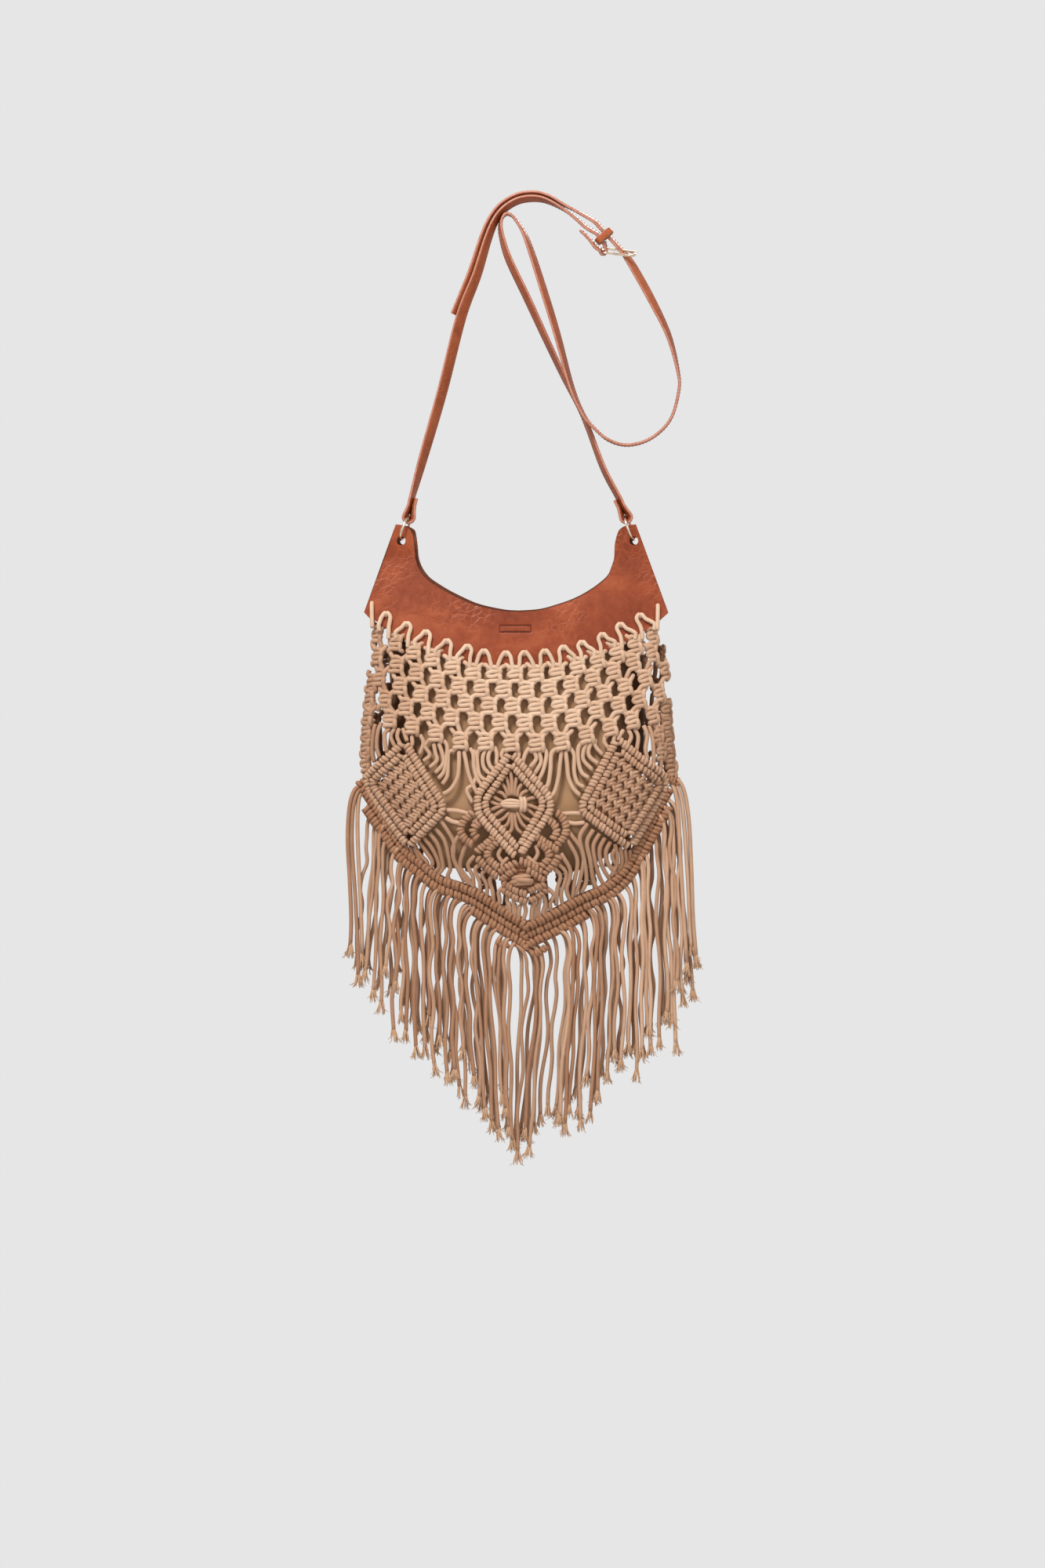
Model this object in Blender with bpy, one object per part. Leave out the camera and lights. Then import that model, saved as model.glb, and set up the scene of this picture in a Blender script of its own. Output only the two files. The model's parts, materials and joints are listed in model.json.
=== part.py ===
"""Knotted cotton crossbody bag with a leather yoke, a stitched strap with a buckle, and a long fringe.

Blender 4.5. Lengths are in metres, +Z is up and the bag's front faces -Y. The origin is where the strap hangs.
The cord body is laid out on a flat chart: "across" runs from the bag's middle to its side, as a share of HALF_WIDTH,
and "down" runs from the top of the yoke to the tip of the V, as a share of BODY_HEIGHT.
"""

import math

import bmesh
import bpy
from mathutils import Vector
from mathutils.geometry import delaunay_2d_cdt

# Driving sizes of the bag
HALF_WIDTH = 0.140          # middle to side, at the widest place
BODY_HEIGHT = 0.387         # top of the yoke to the tip of the V
HALF_DEPTH = 0.024          # middle plane to the inside of the net, at the deepest place
BODY_SHIFT = 0.007          # the bag hangs this far to the right of its hanging place
GAP = 0.0003                # between neighbouring pieces
SECTION_POWER = 3.0         # roundness of the body's flat oval section
CLOSING = 0.070             # height over which front and back come together above the V
NORMAL_STEP = 0.004         # half the width over which the skin's direction is taken

# Leather yoke
YOKE_HALF_WIDTH = 0.135
YOKE_HEIGHT = 0.129
YOKE_WALL = 0.002
YOKE_FLATNESS = 0.150       # half width of the flat oval that the yoke bends along
CORNER_DROP = 0.0855        # horn top to where the lower arc starts
ARC_HALF_CHORD = 0.128
MOUTH_HALF_WIDTH = 0.0875
MOUTH_TOP = 0.031
MOUTH_DEPTH = 0.0475
MOUTH_POWER = 1.8
LACE_HOLES = 16
LACE_HOLE_RADIUS = 0.0023
LACE_HOLE_RISE = 0.0135     # lower edge to the middle of a lace hole
LACE_SPAN = 0.127           # middle to the last lace hole
LACE_CROTCH = 1.3           # under a loop's top, in cords
LACE_FOOT_CROTCH = 1.7      # over a loop's foot, in cords
LACE_FOOT = 0.8             # half a foot's width, in cords
LACE_SEAT = 0.0022          # the outermost cord loops end this far above the knots, where the skins turn apart

# Rings and strap
STRAP_DROP = 0.2905         # hanging place to the ring holes
RING_HOLE_OFFSET = 0.1038
RING_HOLE_DROP = 0.0154
RING_HOLE_RADIUS = 0.004
RING_RADIUS = 0.011
RING_WIRE = 0.0011
RING_LEAN = math.radians(19)
STRAP_WIDTH = 0.012
STRAP_THICKNESS = 0.0024
FOLD_CLEARANCE = 0.0004
FOLD_RETURN = 0.018         # length of strap folded back above a ring

# Buckle
BUCKLE_LENGTH = 0.0289
BUCKLE_LEAN = math.radians(-7)
BUCKLE_ROLL = 18.0
BUCKLE_WIRE = 0.0011
BUCKLE_HALF_WIDTH = 0.0085
PRONG_RADIUS = 0.0008
PRONG_SLOT = 0.0034
PRONG_HOLE_AT = 0.60        # where the prong meets the strap, along the buckle
PRONG_HOLE_LENGTH = 0.011
PRONG_HOLE_DEPTH = 0.010    # how far the cut for the prong reaches, through the strap
KEEPER_WIDTH = 0.0063
KEEPER_WALL = 0.0015
KEEPER_HALF_HEIGHT = 0.0073
KEEPER_HALF_WIDTH = 0.0071

# Cord work
CORD = 0.004
NET_WALL = 0.0045
RIM_WALL = 0.0062
FILL_WALL = 0.0042
BORDER_WALL = 0.0055
FRINGE_WALL = 0.0065
FRINGE_HEAD = 0.006
LINING_WALL = 0.0012
WRAP_RADIUS = 0.189         # the knots' columns crowd together towards the sides as on a drum of this radius
NET_SHIFT = -0.004          # the net's middle column lies left of the bag's middle
GAP_HALF_WIDTH = 0.0043
GAP_HALF_HEIGHT = 0.0064
BACK_GAP_HALF_WIDTH = 0.0048
BACK_GAP_HALF_HEIGHT = 0.0125

YOKE_TOP = -(STRAP_DROP - RING_HOLE_DROP)
RING_HOLE_Z = -STRAP_DROP

# Section of the body: down, half width as a share of HALF_WIDTH, half depth as a share of HALF_DEPTH
BODY_SECTIONS = (
    # down, width, depth
    (0.00, 0.90, 0.10),
    (0.08, 0.90, 0.14),
    (0.20, 0.90, 0.52),
    (0.30, 0.925, 0.80),
    (0.50, 0.965, 1.00),
    (0.61, 0.990, 1.00),
    (0.80, 1.000, 0.90),
    (1.05, 1.000, 0.80),
)

# Upper inner corner of a horn, from its top to the mouth: across as a share of YOKE_HALF_WIDTH, down of YOKE_HEIGHT
HORN_EDGE = (
    # across, down
    (0.722, 0.000),
    (0.706, 0.020),
    (0.668, 0.075),
    (0.651, 0.150),
)
HORN_OUTER = 0.795

# Middle line of the V border: across, down, and half the band's width as a share of HALF_WIDTH
BORDER_LINE = (
    # across, down, half width
    (-0.945, 0.608, 0.043),
    (-0.835, 0.684, 0.043),
    (-0.710, 0.760, 0.046),
    (-0.620, 0.790, 0.055),
    (-0.525, 0.817, 0.055),
    (-0.415, 0.841, 0.060),
    (-0.300, 0.864, 0.080),
    (-0.125, 0.906, 0.084),
    (0.045, 0.957, 0.086),
    (0.140, 0.937, 0.084),
    (0.270, 0.913, 0.080),
    (0.395, 0.886, 0.075),
    (0.520, 0.858, 0.058),
    (0.610, 0.840, 0.055),
    (0.675, 0.815, 0.052),
    (0.750, 0.768, 0.046),
    (0.850, 0.684, 0.043),
    (0.945, 0.610, 0.043),
)

# Corners of the three diamonds, clockwise from the top: across, down
DIAMONDS = {
    "diamond_left": ((-0.705, 0.488), (-0.448, 0.652), (-0.685, 0.756), (-0.930, 0.602)),
    "diamond_centre": ((-0.0475, 0.526), (0.222, 0.653), (0.0075, 0.774), (-0.262, 0.653)),
    "diamond_right": ((0.625, 0.481), (0.930, 0.600), (0.712, 0.760), (0.388, 0.655)),
}
RIM_SHARE = 0.74            # size of a rim's inner edge beside the diamond
RIM_CREST = 0.90            # size of a rim's crest beside the diamond
RIM_PARTS = 4               # flat stretches along each side of a diamond

# Looped cords under the middle diamond, clockwise from its left corner: across, down
ROSETTE = (
    (-0.300, 0.655), (-0.388, 0.702), (-0.300, 0.748), (-0.272, 0.765), (-0.115, 0.824), (-0.112, 0.842),
    (0.055, 0.876), (0.200, 0.842), (0.190, 0.822), (0.290, 0.757), (0.285, 0.742), (0.340, 0.702), (0.275, 0.655),
    (0.000, 0.700),
)
# Gaps in the looped cords: across, down, half width and half height as shares of HALF_WIDTH
ROSETTE_GAPS = (
    # across, down, half width, half height
    (-0.285, 0.706, 0.022, 0.034),
    (0.262, 0.706, 0.022, 0.034),
    (-0.165, 0.768, 0.024, 0.024),
    (0.178, 0.764, 0.024, 0.024),
    (-0.050, 0.817, 0.020, 0.018),
    (0.130, 0.817, 0.020, 0.018),
)
BERRY = (0.035, 0.817, 0.060, 0.043)

# Rows of knots on the front: down in the middle, rise towards the sides, spacing as a share of HALF_WIDTH, offset
FRONT_ROWS = (
    # down, rise, pitch, start
    (0.3825, 0.100, 0.1440, 0.5),
    (0.4220, 0.093, 0.1500, 0.0),
    (0.4590, 0.096, 0.1560, 0.5),
    (0.5000, 0.085, 0.1625, 0.0),
)
BACK_ROWS = (
    # down, rise, pitch, start
    (0.4150, 0.100, 0.1500, 0.5),
    (0.4900, 0.090, 0.1560, 0.0),
    (0.5650, 0.080, 0.1600, 0.5),
    (0.6400, 0.070, 0.1600, 0.0),
    (0.7150, 0.060, 0.1600, 0.5),
    (0.7900, 0.050, 0.1600, 0.0),
)
NET_REACH = 0.900           # no gap is cut further across than this
COLUMNS = 8

# Bare places between the middle diamond and its neighbours: across, down, half width, half height
WINDOWS = (
    (-0.345, 0.620, 0.062, 0.105),
    (0.305, 0.620, 0.070, 0.105),
)
# Long openings between the loose cords above the border: across, down
SLOTS = (
    (-0.575, 0.757), (-0.500, 0.752), (-0.425, 0.752), (-0.345, 0.788), (-0.265, 0.812),
    (0.600, 0.762), (0.520, 0.755), (0.440, 0.752), (0.360, 0.792), (0.275, 0.812),
)
SLOT_HALF_WIDTH = 0.0019
SLOT_HALF_HEIGHT = 0.0085

# Fringe: across, and how far down its ends reach
FRINGE_ENDS = (
    # across, down
    (-1.05, 1.040),
    (-0.90, 1.100),
    (-0.75, 1.165),
    (-0.60, 1.225),
    (-0.45, 1.285),
    (-0.30, 1.335),
    (-0.15, 1.400),
    (0.02, 1.465),
    (0.15, 1.425),
    (0.30, 1.400),
    (0.45, 1.365),
    (0.60, 1.285),
    (0.75, 1.250),
    (0.90, 1.215),
    (1.00, 1.160),
    (1.12, 1.030),
)
FRONT_LOCKS = 19
BACK_LOCKS = 17
LOCK_FILL = 0.34            # half width of a lock's end beside the locks' spacing
LOCK_BELLY = 1.15           # a lock's widest place beside its end
LOCK_BELLY_RISE = 0.35      # and how far up the lock that is
RAGGED = 0.018              # how far the locks' ends stand above and below their line
RAGGED_TURN = 2.4
FAN = 0.125                 # how far the outer locks swing out, as a share of HALF_WIDTH

# Lining: down, half width and half depth as shares of HALF_WIDTH and HALF_DEPTH
LINING_SECTIONS = (
    # down, width, depth
    (0.245, 0.790, 0.675),
    (0.330, 0.800, 0.800),
    (0.450, 0.810, 0.900),
    (0.560, 0.800, 0.920),
    (0.650, 0.760, 0.850),
    (0.720, 0.680, 0.700),
    (0.765, 0.580, 0.480),
    (0.795, 0.440, 0.200),
)
LINING_SIDES = 24

# Strap routes: across and down as shares of STRAP_DROP, forward in metres, twist in degrees
BUCKLE_ROUTE = (
    # across, down, back, twist
    (-0.265, 0.742, 0.0, -40),
    (-0.207, 0.540, 0.0, -50),
    (-0.149, 0.311, 0.0, -45),
    (-0.101, 0.183, 0.0, -28),
    (-0.067, 0.072, 0.0, -15),
    (-0.043, 0.014, 0.0, -5),
    (-0.014, -0.022, 0.0, 0),
    (0.027, -0.046, 0.0, 0),
    (0.072, -0.053, 0.0, 0),
    (0.113, -0.046, 0.0, 4),
    (0.161, -0.022, 0.0, 10),
    (0.202, 0.007, 0.0, 13),
    (0.236, 0.036, 0.0, 14),
    (0.270, 0.0565, 0.0, 15),
    (0.2895, 0.080, 0.0, 15),
)
RETURN_ROUTE = (
    # across, down, back, twist
    (0.2645, 0.0965, 0.0, -14),
    (0.249, 0.076, 0.0, -10),
    (0.232, 0.058, 0.0, -8),
    (0.217, 0.045, 0.0, -6),
)
BAR_PLACE = (0.288, 0.107)
LONG_ROUTE = (
    # across, down, back, twist
    (0.289, 0.778, 0.002, 0),
    (0.243, 0.655, 0.006, 0),
    (0.214, 0.586, 0.008, 0),
    (0.166, 0.492, 0.008, 8),
    (0.108, 0.369, 0.006, 14),
    (0.051, 0.246, 0.004, 16),
    (-0.002, 0.135, 0.002, 10),
    (-0.024, 0.065, 0.0, 4),
    (-0.028, 0.025, 0.0, 0),
    (-0.018, 0.001, 0.0, 0),
    (-0.005, -0.005, 0.0, 0),
    (0.013, 0.006, 0.0, 0),
    (0.039, 0.043, 0.0, 8),
    (0.063, 0.101, -0.002, 14),
    (0.104, 0.229, -0.005, 20),
    (0.145, 0.364, -0.0075, 16),
    (0.190, 0.528, -0.009, 8),
    (0.227, 0.614, -0.009, 0),
    (0.260, 0.655, -0.007, 0),
    (0.306, 0.692, -0.005, 0),
    (0.366, 0.706, -0.003, 0),
    (0.436, 0.684, -0.001, 0),
    (0.494, 0.627, 0.0, 0),
    (0.520, 0.540, 0.0, 0),
    (0.518, 0.480, 0.0, -4),
    (0.489, 0.369, 0.0, -12),
    (0.436, 0.258, 0.0, -22),
    (0.378, 0.154, 0.0, -26),
    (0.349, 0.113, 0.0, -20),
    (0.326, 0.0865, 0.0, -16),
    (0.302, 0.0605, 0.0, -15),
    (0.277, 0.034, 0.0, -15),
    (0.253, 0.012, 0.0, -15),
)
TAIL_ROWS = (11, 2)         # the tail follows the other strap from this row of its route back to that one
TAIL_GAP = 0.0012
KEEPER_PLACE = (0.2905, 0.0632)
KEEPER_HEADING = math.radians(-49)


# Small helpers

def clear_scene():
    for item in list(bpy.data.objects):
        bpy.data.objects.remove(item, do_unlink=True)


def material(name, colour, roughness, metallic=0.0):
    made = bpy.data.materials.new(name)
    made.use_nodes = True
    shader = made.node_tree.nodes["Principled BSDF"]
    shader.inputs["Base Color"].default_value = (*colour, 1.0)
    shader.inputs["Roughness"].default_value = roughness
    shader.inputs["Metallic"].default_value = metallic
    return made


def add_object(name, shape, finish, smooth_angle=35):
    """Put a bmesh in the scene as one named object with one material."""
    bmesh.ops.triangulate(shape, faces=shape.faces[:])
    mesh = bpy.data.meshes.new(name)
    shape.to_mesh(mesh)
    shape.free()
    mesh.shade_smooth()
    mesh.set_sharp_from_angle(angle=math.radians(smooth_angle))
    made = bpy.data.objects.new(name, mesh)
    mesh.materials.append(finish)
    bpy.context.scene.collection.objects.link(made)
    return made


def read_table(table, place, column):
    """A column of a table at a place between its rows, on a straight line from row to row."""
    if place <= table[0][0]:
        return table[0][column]
    for low, high in zip(table, table[1:]):
        if place <= high[0]:
            share = (place - low[0]) / (high[0] - low[0])
            return low[column] + share * (high[column] - low[column])
    return table[-1][column]


def chart(across, down):
    """A place on the flat chart, as x and z in metres."""
    return (BODY_SHIFT + across * HALF_WIDTH, YOKE_TOP - down * BODY_HEIGHT)


def inside(point, loop):
    x, z = point
    hit = False
    for (ax, az), (bx, bz) in zip(loop, loop[1:] + loop[:1]):
        if (az > z) != (bz > z) and x < ax + (z - az) * (bx - ax) / (bz - az):
            hit = not hit
    return hit


def cross_line(a, b, c, d):
    """Where the line through a and b meets the line through c and d, or b if they run the same way."""
    ux, uz, vx, vz = b[0] - a[0], b[1] - a[1], d[0] - c[0], d[1] - c[1]
    turn = ux * vz - uz * vx
    if abs(turn) < 1e-9 * (abs(ux) + abs(uz)):
        return b
    share = ((c[0] - a[0]) * vz - (c[1] - a[1]) * vx) / turn
    return (a[0] + share * ux, a[1] + share * uz)


def grow(loop, margin):
    """A loop whose sides are all moved outwards by a margin."""
    area = sum(a[0] * b[1] - b[0] * a[1] for a, b in zip(loop, loop[1:] + loop[:1]))
    side = margin if area > 0 else -margin
    moved = []
    for a, b in zip(loop, loop[1:] + loop[:1]):
        run = math.dist(a, b)
        nx, nz = side * (b[1] - a[1]) / run, -side * (b[0] - a[0]) / run
        moved.append(((a[0] + nx, a[1] + nz), (b[0] + nx, b[1] + nz)))
    return [cross_line(*before, *after) for before, after in zip(moved[-1:] + moved[:-1], moved)]


def diamond_shape(centre, half_width, half_height):
    x, z = centre
    return [(x - half_width, z), (x, z - half_height), (x + half_width, z), (x, z + half_height)]


# Curved skins that flat charts are laid on

def border_down(x):
    return read_table(BORDER_LINE, (x - BODY_SHIFT) / HALF_WIDTH, 1)


def body_depth(x, z):
    """Distance from the middle plane to the inside of the cord body."""
    down = (YOKE_TOP - z) / BODY_HEIGHT
    width = HALF_WIDTH * read_table(BODY_SECTIONS, down, 1)
    depth = HALF_DEPTH * read_table(BODY_SECTIONS, down, 2)
    share = min(1.0, abs(x - BODY_SHIFT) / width)
    above = (border_down(x) - down) * BODY_HEIGHT / CLOSING
    closing = math.sin(0.5 * math.pi * min(1.0, max(0.0, above)))
    return GAP + depth * closing * (1.0 - share ** SECTION_POWER) ** (1.0 / SECTION_POWER)


def body_limit(z):
    return HALF_WIDTH * read_table(BODY_SECTIONS, (YOKE_TOP - z) / BODY_HEIGHT, 1)


def yoke_depth(x, z):
    down = (YOKE_TOP - z) / BODY_HEIGHT
    depth = HALF_DEPTH * read_table(BODY_SECTIONS, down, 2)
    share = min(1.0, abs(x - BODY_SHIFT) / YOKE_FLATNESS)
    return YOKE_WALL + depth * (1.0 - share ** SECTION_POWER) ** (1.0 / SECTION_POWER)


def yoke_limit(z):
    return YOKE_FLATNESS


def on_skin(depth, limit, x, z, lift, facing):
    """The point that lies lift outside a skin, at chart place x, z. facing is -1 in front and 1 behind."""
    edge = limit(z)
    low = max(-edge, x - BODY_SHIFT - NORMAL_STEP) + BODY_SHIFT
    high = min(edge, x - BODY_SHIFT + NORMAL_STEP) + BODY_SHIFT
    slope = (depth(high, z) - depth(low, z)) / max(high - low, 1e-6)
    size = math.hypot(1.0, slope)
    out = depth(x, z) + lift / size
    return Vector((x - lift * slope / size, facing * out, z))


def plate(name, outline, cuts, lifts, finish, facing, skin, inner_points=(), raised=None):
    """A closed plate: the outline less its cuts, laid on a skin between an inner and an outer lift."""
    points, edges = [], []
    for loop in [outline] + cuts:
        start = len(points)
        points += [Vector(p) for p in loop]
        edges += [(start + i, start + (i + 1) % len(loop)) for i in range(len(loop))]
    points += [Vector(p) for p in inner_points]
    flat, _, faces, *_ = delaunay_2d_cdt(points, edges, [], 0, 1e-6)
    kept = []
    for face in faces:
        middle = [sum(flat[i][k] for i in face) / len(face) for k in (0, 1)]
        if inside(middle, outline) and not any(inside(middle, loop) for loop in cuts):
            kept.append(face)
    shape = bmesh.new()
    low, high = {}, {}
    for i in sorted({i for face in kept for i in face}):
        x, z = flat[i]
        low[i] = shape.verts.new(on_skin(*skin, x, z, lifts[0], facing))
        top = raised(x, z) if raised else lifts[1]
        high[i] = shape.verts.new(on_skin(*skin, x, z, top, facing))
    sides = set()
    for face in kept:
        if facing > 0:
            face = face[::-1]
        shape.faces.new([high[i] for i in face])
        shape.faces.new([low[i] for i in reversed(face)])
        sides.update(zip(face, face[1:] + face[:1]))
    for a, b in sorted(sides):
        if (b, a) not in sides:
            shape.faces.new([low[a], low[b], high[b], high[a]])
    return add_object(name, shape, finish)


BODY_SKIN = (body_depth, body_limit)
YOKE_SKIN = (yoke_depth, yoke_limit)


# Leather yoke

def arc_z(x):
    """Height of the yoke's lower edge."""
    sag = YOKE_HEIGHT - CORNER_DROP
    radius = (ARC_HALF_CHORD ** 2 + sag ** 2) / (2 * sag)
    rise = radius - math.sqrt(radius ** 2 - (x - BODY_SHIFT) ** 2)
    return YOKE_TOP - YOKE_HEIGHT + rise


def lace_places():
    """Middles of the lace holes, from left to right."""
    step = 2 * LACE_SPAN / (LACE_HOLES - 1)
    xs = [BODY_SHIFT - LACE_SPAN + step * i for i in range(LACE_HOLES)]
    return [(x, arc_z(x) + LACE_HOLE_RISE) for x in xs]


def circle(centre, radius, sides, start=0.0):
    x, z = centre
    turns = [start + 2 * math.pi * i / sides for i in range(sides)]
    return [(x + radius * math.cos(t), z + radius * math.sin(t)) for t in turns]


def yoke_outline():
    half = [(HORN_OUTER * YOKE_HALF_WIDTH, 0.0)]
    half += [(YOKE_HALF_WIDTH * across, YOKE_HEIGHT * down) for across, down in HORN_EDGE]
    steps = 9
    for i in range(1, steps + 1):
        turn = 0.5 * math.pi * i / steps
        across = MOUTH_HALF_WIDTH * math.cos(turn) ** (2 / MOUTH_POWER)
        half.append((across, MOUTH_TOP + MOUTH_DEPTH * math.sin(turn) ** (2 / MOUTH_POWER)))
    half[-1] = (0.0, MOUTH_TOP + MOUTH_DEPTH)
    right = [(BODY_SHIFT + x, YOKE_TOP - down) for x, down in half]
    left = [(2 * BODY_SHIFT - x, z) for x, z in right[-2::-1]]
    corner = YOKE_TOP - CORNER_DROP
    arc_steps = 14
    arc = []
    for i in range(arc_steps + 1):
        x = BODY_SHIFT - ARC_HALF_CHORD + 2 * ARC_HALF_CHORD * i / arc_steps
        arc.append((x, arc_z(x)))
    side_z = corner + 0.0065
    return (right + left + [(BODY_SHIFT - YOKE_HALF_WIDTH, side_z)] + arc
            + [(BODY_SHIFT + YOKE_HALF_WIDTH, side_z)])


def build_yoke(name, facing, finish):
    holes = [circle((BODY_SHIFT + side * RING_HOLE_OFFSET, RING_HOLE_Z), RING_HOLE_RADIUS, 10) for side in (-1, 1)]
    holes += [circle(place, LACE_HOLE_RADIUS, 6) for place in lace_places()]
    half_wall = YOKE_WALL / 2
    return plate(name, yoke_outline(), holes, (-half_wall, half_wall), finish, facing, YOKE_SKIN)


def build_lacing(name, facing, finish):
    """Cord zigzag in front of the yoke, from the lace holes down to the first row of knots."""
    tops = lace_places()
    feet = []
    for a, b in zip(tops, tops[1:]):
        x = (a[0] + b[0]) / 2
        feet.append((x, arc_z(x) + GAP + LACE_SEAT * ((x - BODY_SHIFT) / LACE_SPAN) ** 2))
    half = CORD / 2
    upper, under = [], []
    for i, (x, z) in enumerate(tops):
        upper += [(x - half, z + half), (x + half, z + half)]
        if 0 < i < len(feet):
            under.append((x, z - LACE_CROTCH * CORD))
        if i < len(feet):
            foot_x, foot_z = feet[i]
            upper.append((foot_x, foot_z + LACE_FOOT_CROTCH * CORD))
            under += [(foot_x - LACE_FOOT * CORD, foot_z), (foot_x + LACE_FOOT * CORD, foot_z)]
    start = [(tops[0][0] - half, tops[0][1] - half)]
    end = [(tops[-1][0] + half, tops[-1][1] - half)]
    outline = upper + end + under[::-1] + start
    low = YOKE_WALL / 2 + GAP
    return plate(name, outline, [], (low, low + 0.9 * CORD), finish, facing, YOKE_SKIN)


# Cord body

def band_edges(extra=0.0):
    """Upper and lower edge of the V border, moved out by an extra width."""
    middle = [chart(across, down) for across, down, _ in BORDER_LINE]
    upper, lower = [], []
    for i, (x, z) in enumerate(middle):
        before, after = middle[max(0, i - 1)], middle[min(len(middle) - 1, i + 1)]
        first = Vector((x - before[0], z - before[1])).normalized()
        last = Vector((after[0] - x, after[1] - z)).normalized()
        run = (first + last).normalized()
        miter = run.dot(last if i < len(middle) - 1 else first)
        half = (BORDER_LINE[i][2] * HALF_WIDTH + extra) / max(miter, 0.6)
        upper.append((x - run.y * half, z + run.x * half))
        lower.append((x + run.y * half, z - run.x * half))
    return upper, lower


def side_line(sign, top, bottom, steps):
    """Points down a side of the body."""
    line = []
    for i in range(steps + 1):
        z = top + (bottom - top) * i / steps
        line.append((BODY_SHIFT + sign * body_limit(z), z))
    return line


def panel_outline():
    """Net and loose cords: yoke's lower edge, sides, and the upper edge of the border."""
    upper, _ = band_edges(GAP)
    steps = 14
    top = []
    reach = body_limit(arc_z(BODY_SHIFT + ARC_HALF_CHORD)) * 0.999
    for i in range(steps + 1):
        x = BODY_SHIFT - reach + 2 * reach * i / steps
        top.append((x, arc_z(x) - GAP))
    right = side_line(1, top[-1][1], upper[-1][1], 6)[1:]
    left = side_line(-1, top[0][1], upper[0][1], 6)[1:]
    return top + right[:-1] + upper[::-1] + left[-2::-1]


def knot_gaps(rows, half_width, half_height):
    """Diamond gaps between neighbouring knots of each row."""
    gaps = []
    for down, rise, pitch, start in rows:
        for i in range(-COLUMNS, COLUMNS + 1):
            turn = (i + 0.5 + start) * pitch * HALF_WIDTH / WRAP_RADIUS
            x = NET_SHIFT + WRAP_RADIUS * math.sin(turn)
            across = x / HALF_WIDTH
            if abs(across) > NET_REACH:
                continue
            place = chart(across, down - rise * across ** 2)
            width = half_width * math.cos(turn)
            gaps.append(diamond_shape(place, width, half_height))
    return gaps


def side_points():
    """Extra points where the body turns round its sides."""
    places = []
    for i in range(1, 7):
        down = 0.26 + 0.05 * i
        for share in (0.82, 0.95):
            for sign in (-1, 1):
                x, z = chart(0.0, down)
                places.append((x + sign * share * body_limit(z), z))
    return places


def clear_of(loops, blocks, margin):
    """The loops that stay a margin clear of every block."""
    grown = [grow(block, margin) for block in blocks]
    return [loop for loop in loops if not any(inside(p, block) for p in loop for block in grown)]


def within(loops, outline, margin):
    """The loops that lie inside an outline, a margin clear of its edge."""
    kept = []
    for loop in loops:
        spread = grow(loop, margin)
        if all(inside(p, outline) for p in spread):
            kept.append(loop)
    return kept


def diamond_loop(name):
    return [chart(*corner) for corner in DIAMONDS[name]]


def build_front_net(finish):
    outline = panel_outline()
    blocks = [densify(grow(diamond_loop(name), GAP), RIM_PARTS) for name in DIAMONDS]
    blocks.append(grow(rosette_loop(), GAP))
    gaps = knot_gaps(FRONT_ROWS, GAP_HALF_WIDTH, GAP_HALF_HEIGHT)
    for across, down, half_width, half_height in WINDOWS:
        gaps.append(diamond_shape(chart(across, down), half_width * HALF_WIDTH, half_height * HALF_WIDTH))
    for place in SLOTS:
        gaps.append(diamond_shape(chart(*place), SLOT_HALF_WIDTH, SLOT_HALF_HEIGHT))
    gaps = clear_of(within(gaps, outline, CORD / 2), blocks, CORD / 3)
    return plate("net_front", outline, blocks + gaps, (0.0, NET_WALL), finish, -1, BODY_SKIN, side_points())


def build_back_net(finish):
    outline = panel_outline()
    gaps = within(knot_gaps(BACK_ROWS, BACK_GAP_HALF_WIDTH, BACK_GAP_HALF_HEIGHT), outline, CORD / 2)
    return plate("net_back", outline, gaps, (0.0, NET_WALL), finish, 1, BODY_SKIN, side_points())


def shrink_about(loop, share):
    cx = sum(p[0] for p in loop) / len(loop)
    cz = sum(p[1] for p in loop) / len(loop)
    return [(cx + share * (x - cx), cz + share * (z - cz)) for x, z in loop]


def densify(loop, parts):
    return [tuple(a[k] + (b[k] - a[k]) * i / parts for k in (0, 1))
            for a, b in zip(loop, loop[1:] + loop[:1]) for i in range(parts)]


def build_diamond(name, finish):
    """Hitched rim round a lower middle. The side diamonds have a field of small gaps, the middle one a bundle."""
    outer = diamond_loop(name)
    inner = shrink_about(outer, RIM_SHARE)
    crest = shrink_about(outer, RIM_CREST)
    middle = [sum(p[k] for p in outer) / len(outer) for k in (0, 1)]
    top, right, bottom, left = inner
    gaps = []
    if name == "diamond_centre":
        for across in (0.25, 0.5, 0.75):
            for a, b in ((top, right), (right, bottom), (bottom, left), (left, top)):
                edge = [a[k] + (b[k] - a[k]) * across for k in (0, 1)]
                near = [middle[k] + 0.62 * (edge[k] - middle[k]) for k in (0, 1)]
                if across == 0.5:
                    gaps.append(diamond_shape(near, CORD / 3, CORD / 2))
    else:
        for i in (1, 2, 3):
            for j in (1, 2, 3):
                u, v = i / 4, j / 4
                place = [(1 - u) * (1 - v) * top[k] + u * (1 - v) * right[k] + u * v * bottom[k] + (1 - u) * v * left[k]
                         for k in (0, 1)]
                gaps.append(diamond_shape(place, CORD / 3, CORD / 3))

    def lift(x, z):
        if name == "diamond_centre" and math.dist((x, z), middle) < CORD:
            return RIM_WALL
        if inside((x, z), shrink_about(outer, RIM_SHARE + 0.02)):
            return FILL_WALL
        if inside((x, z), shrink_about(outer, 0.98)):
            return RIM_WALL
        return FILL_WALL

    return plate(name, densify(outer, RIM_PARTS), gaps, (0.0, FILL_WALL), finish, -1, BODY_SKIN,
                 densify(crest, RIM_PARTS) + densify(inner, RIM_PARTS) + [tuple(middle)], lift)


def rosette_loop():
    return [chart(*place) for place in ROSETTE]


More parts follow.
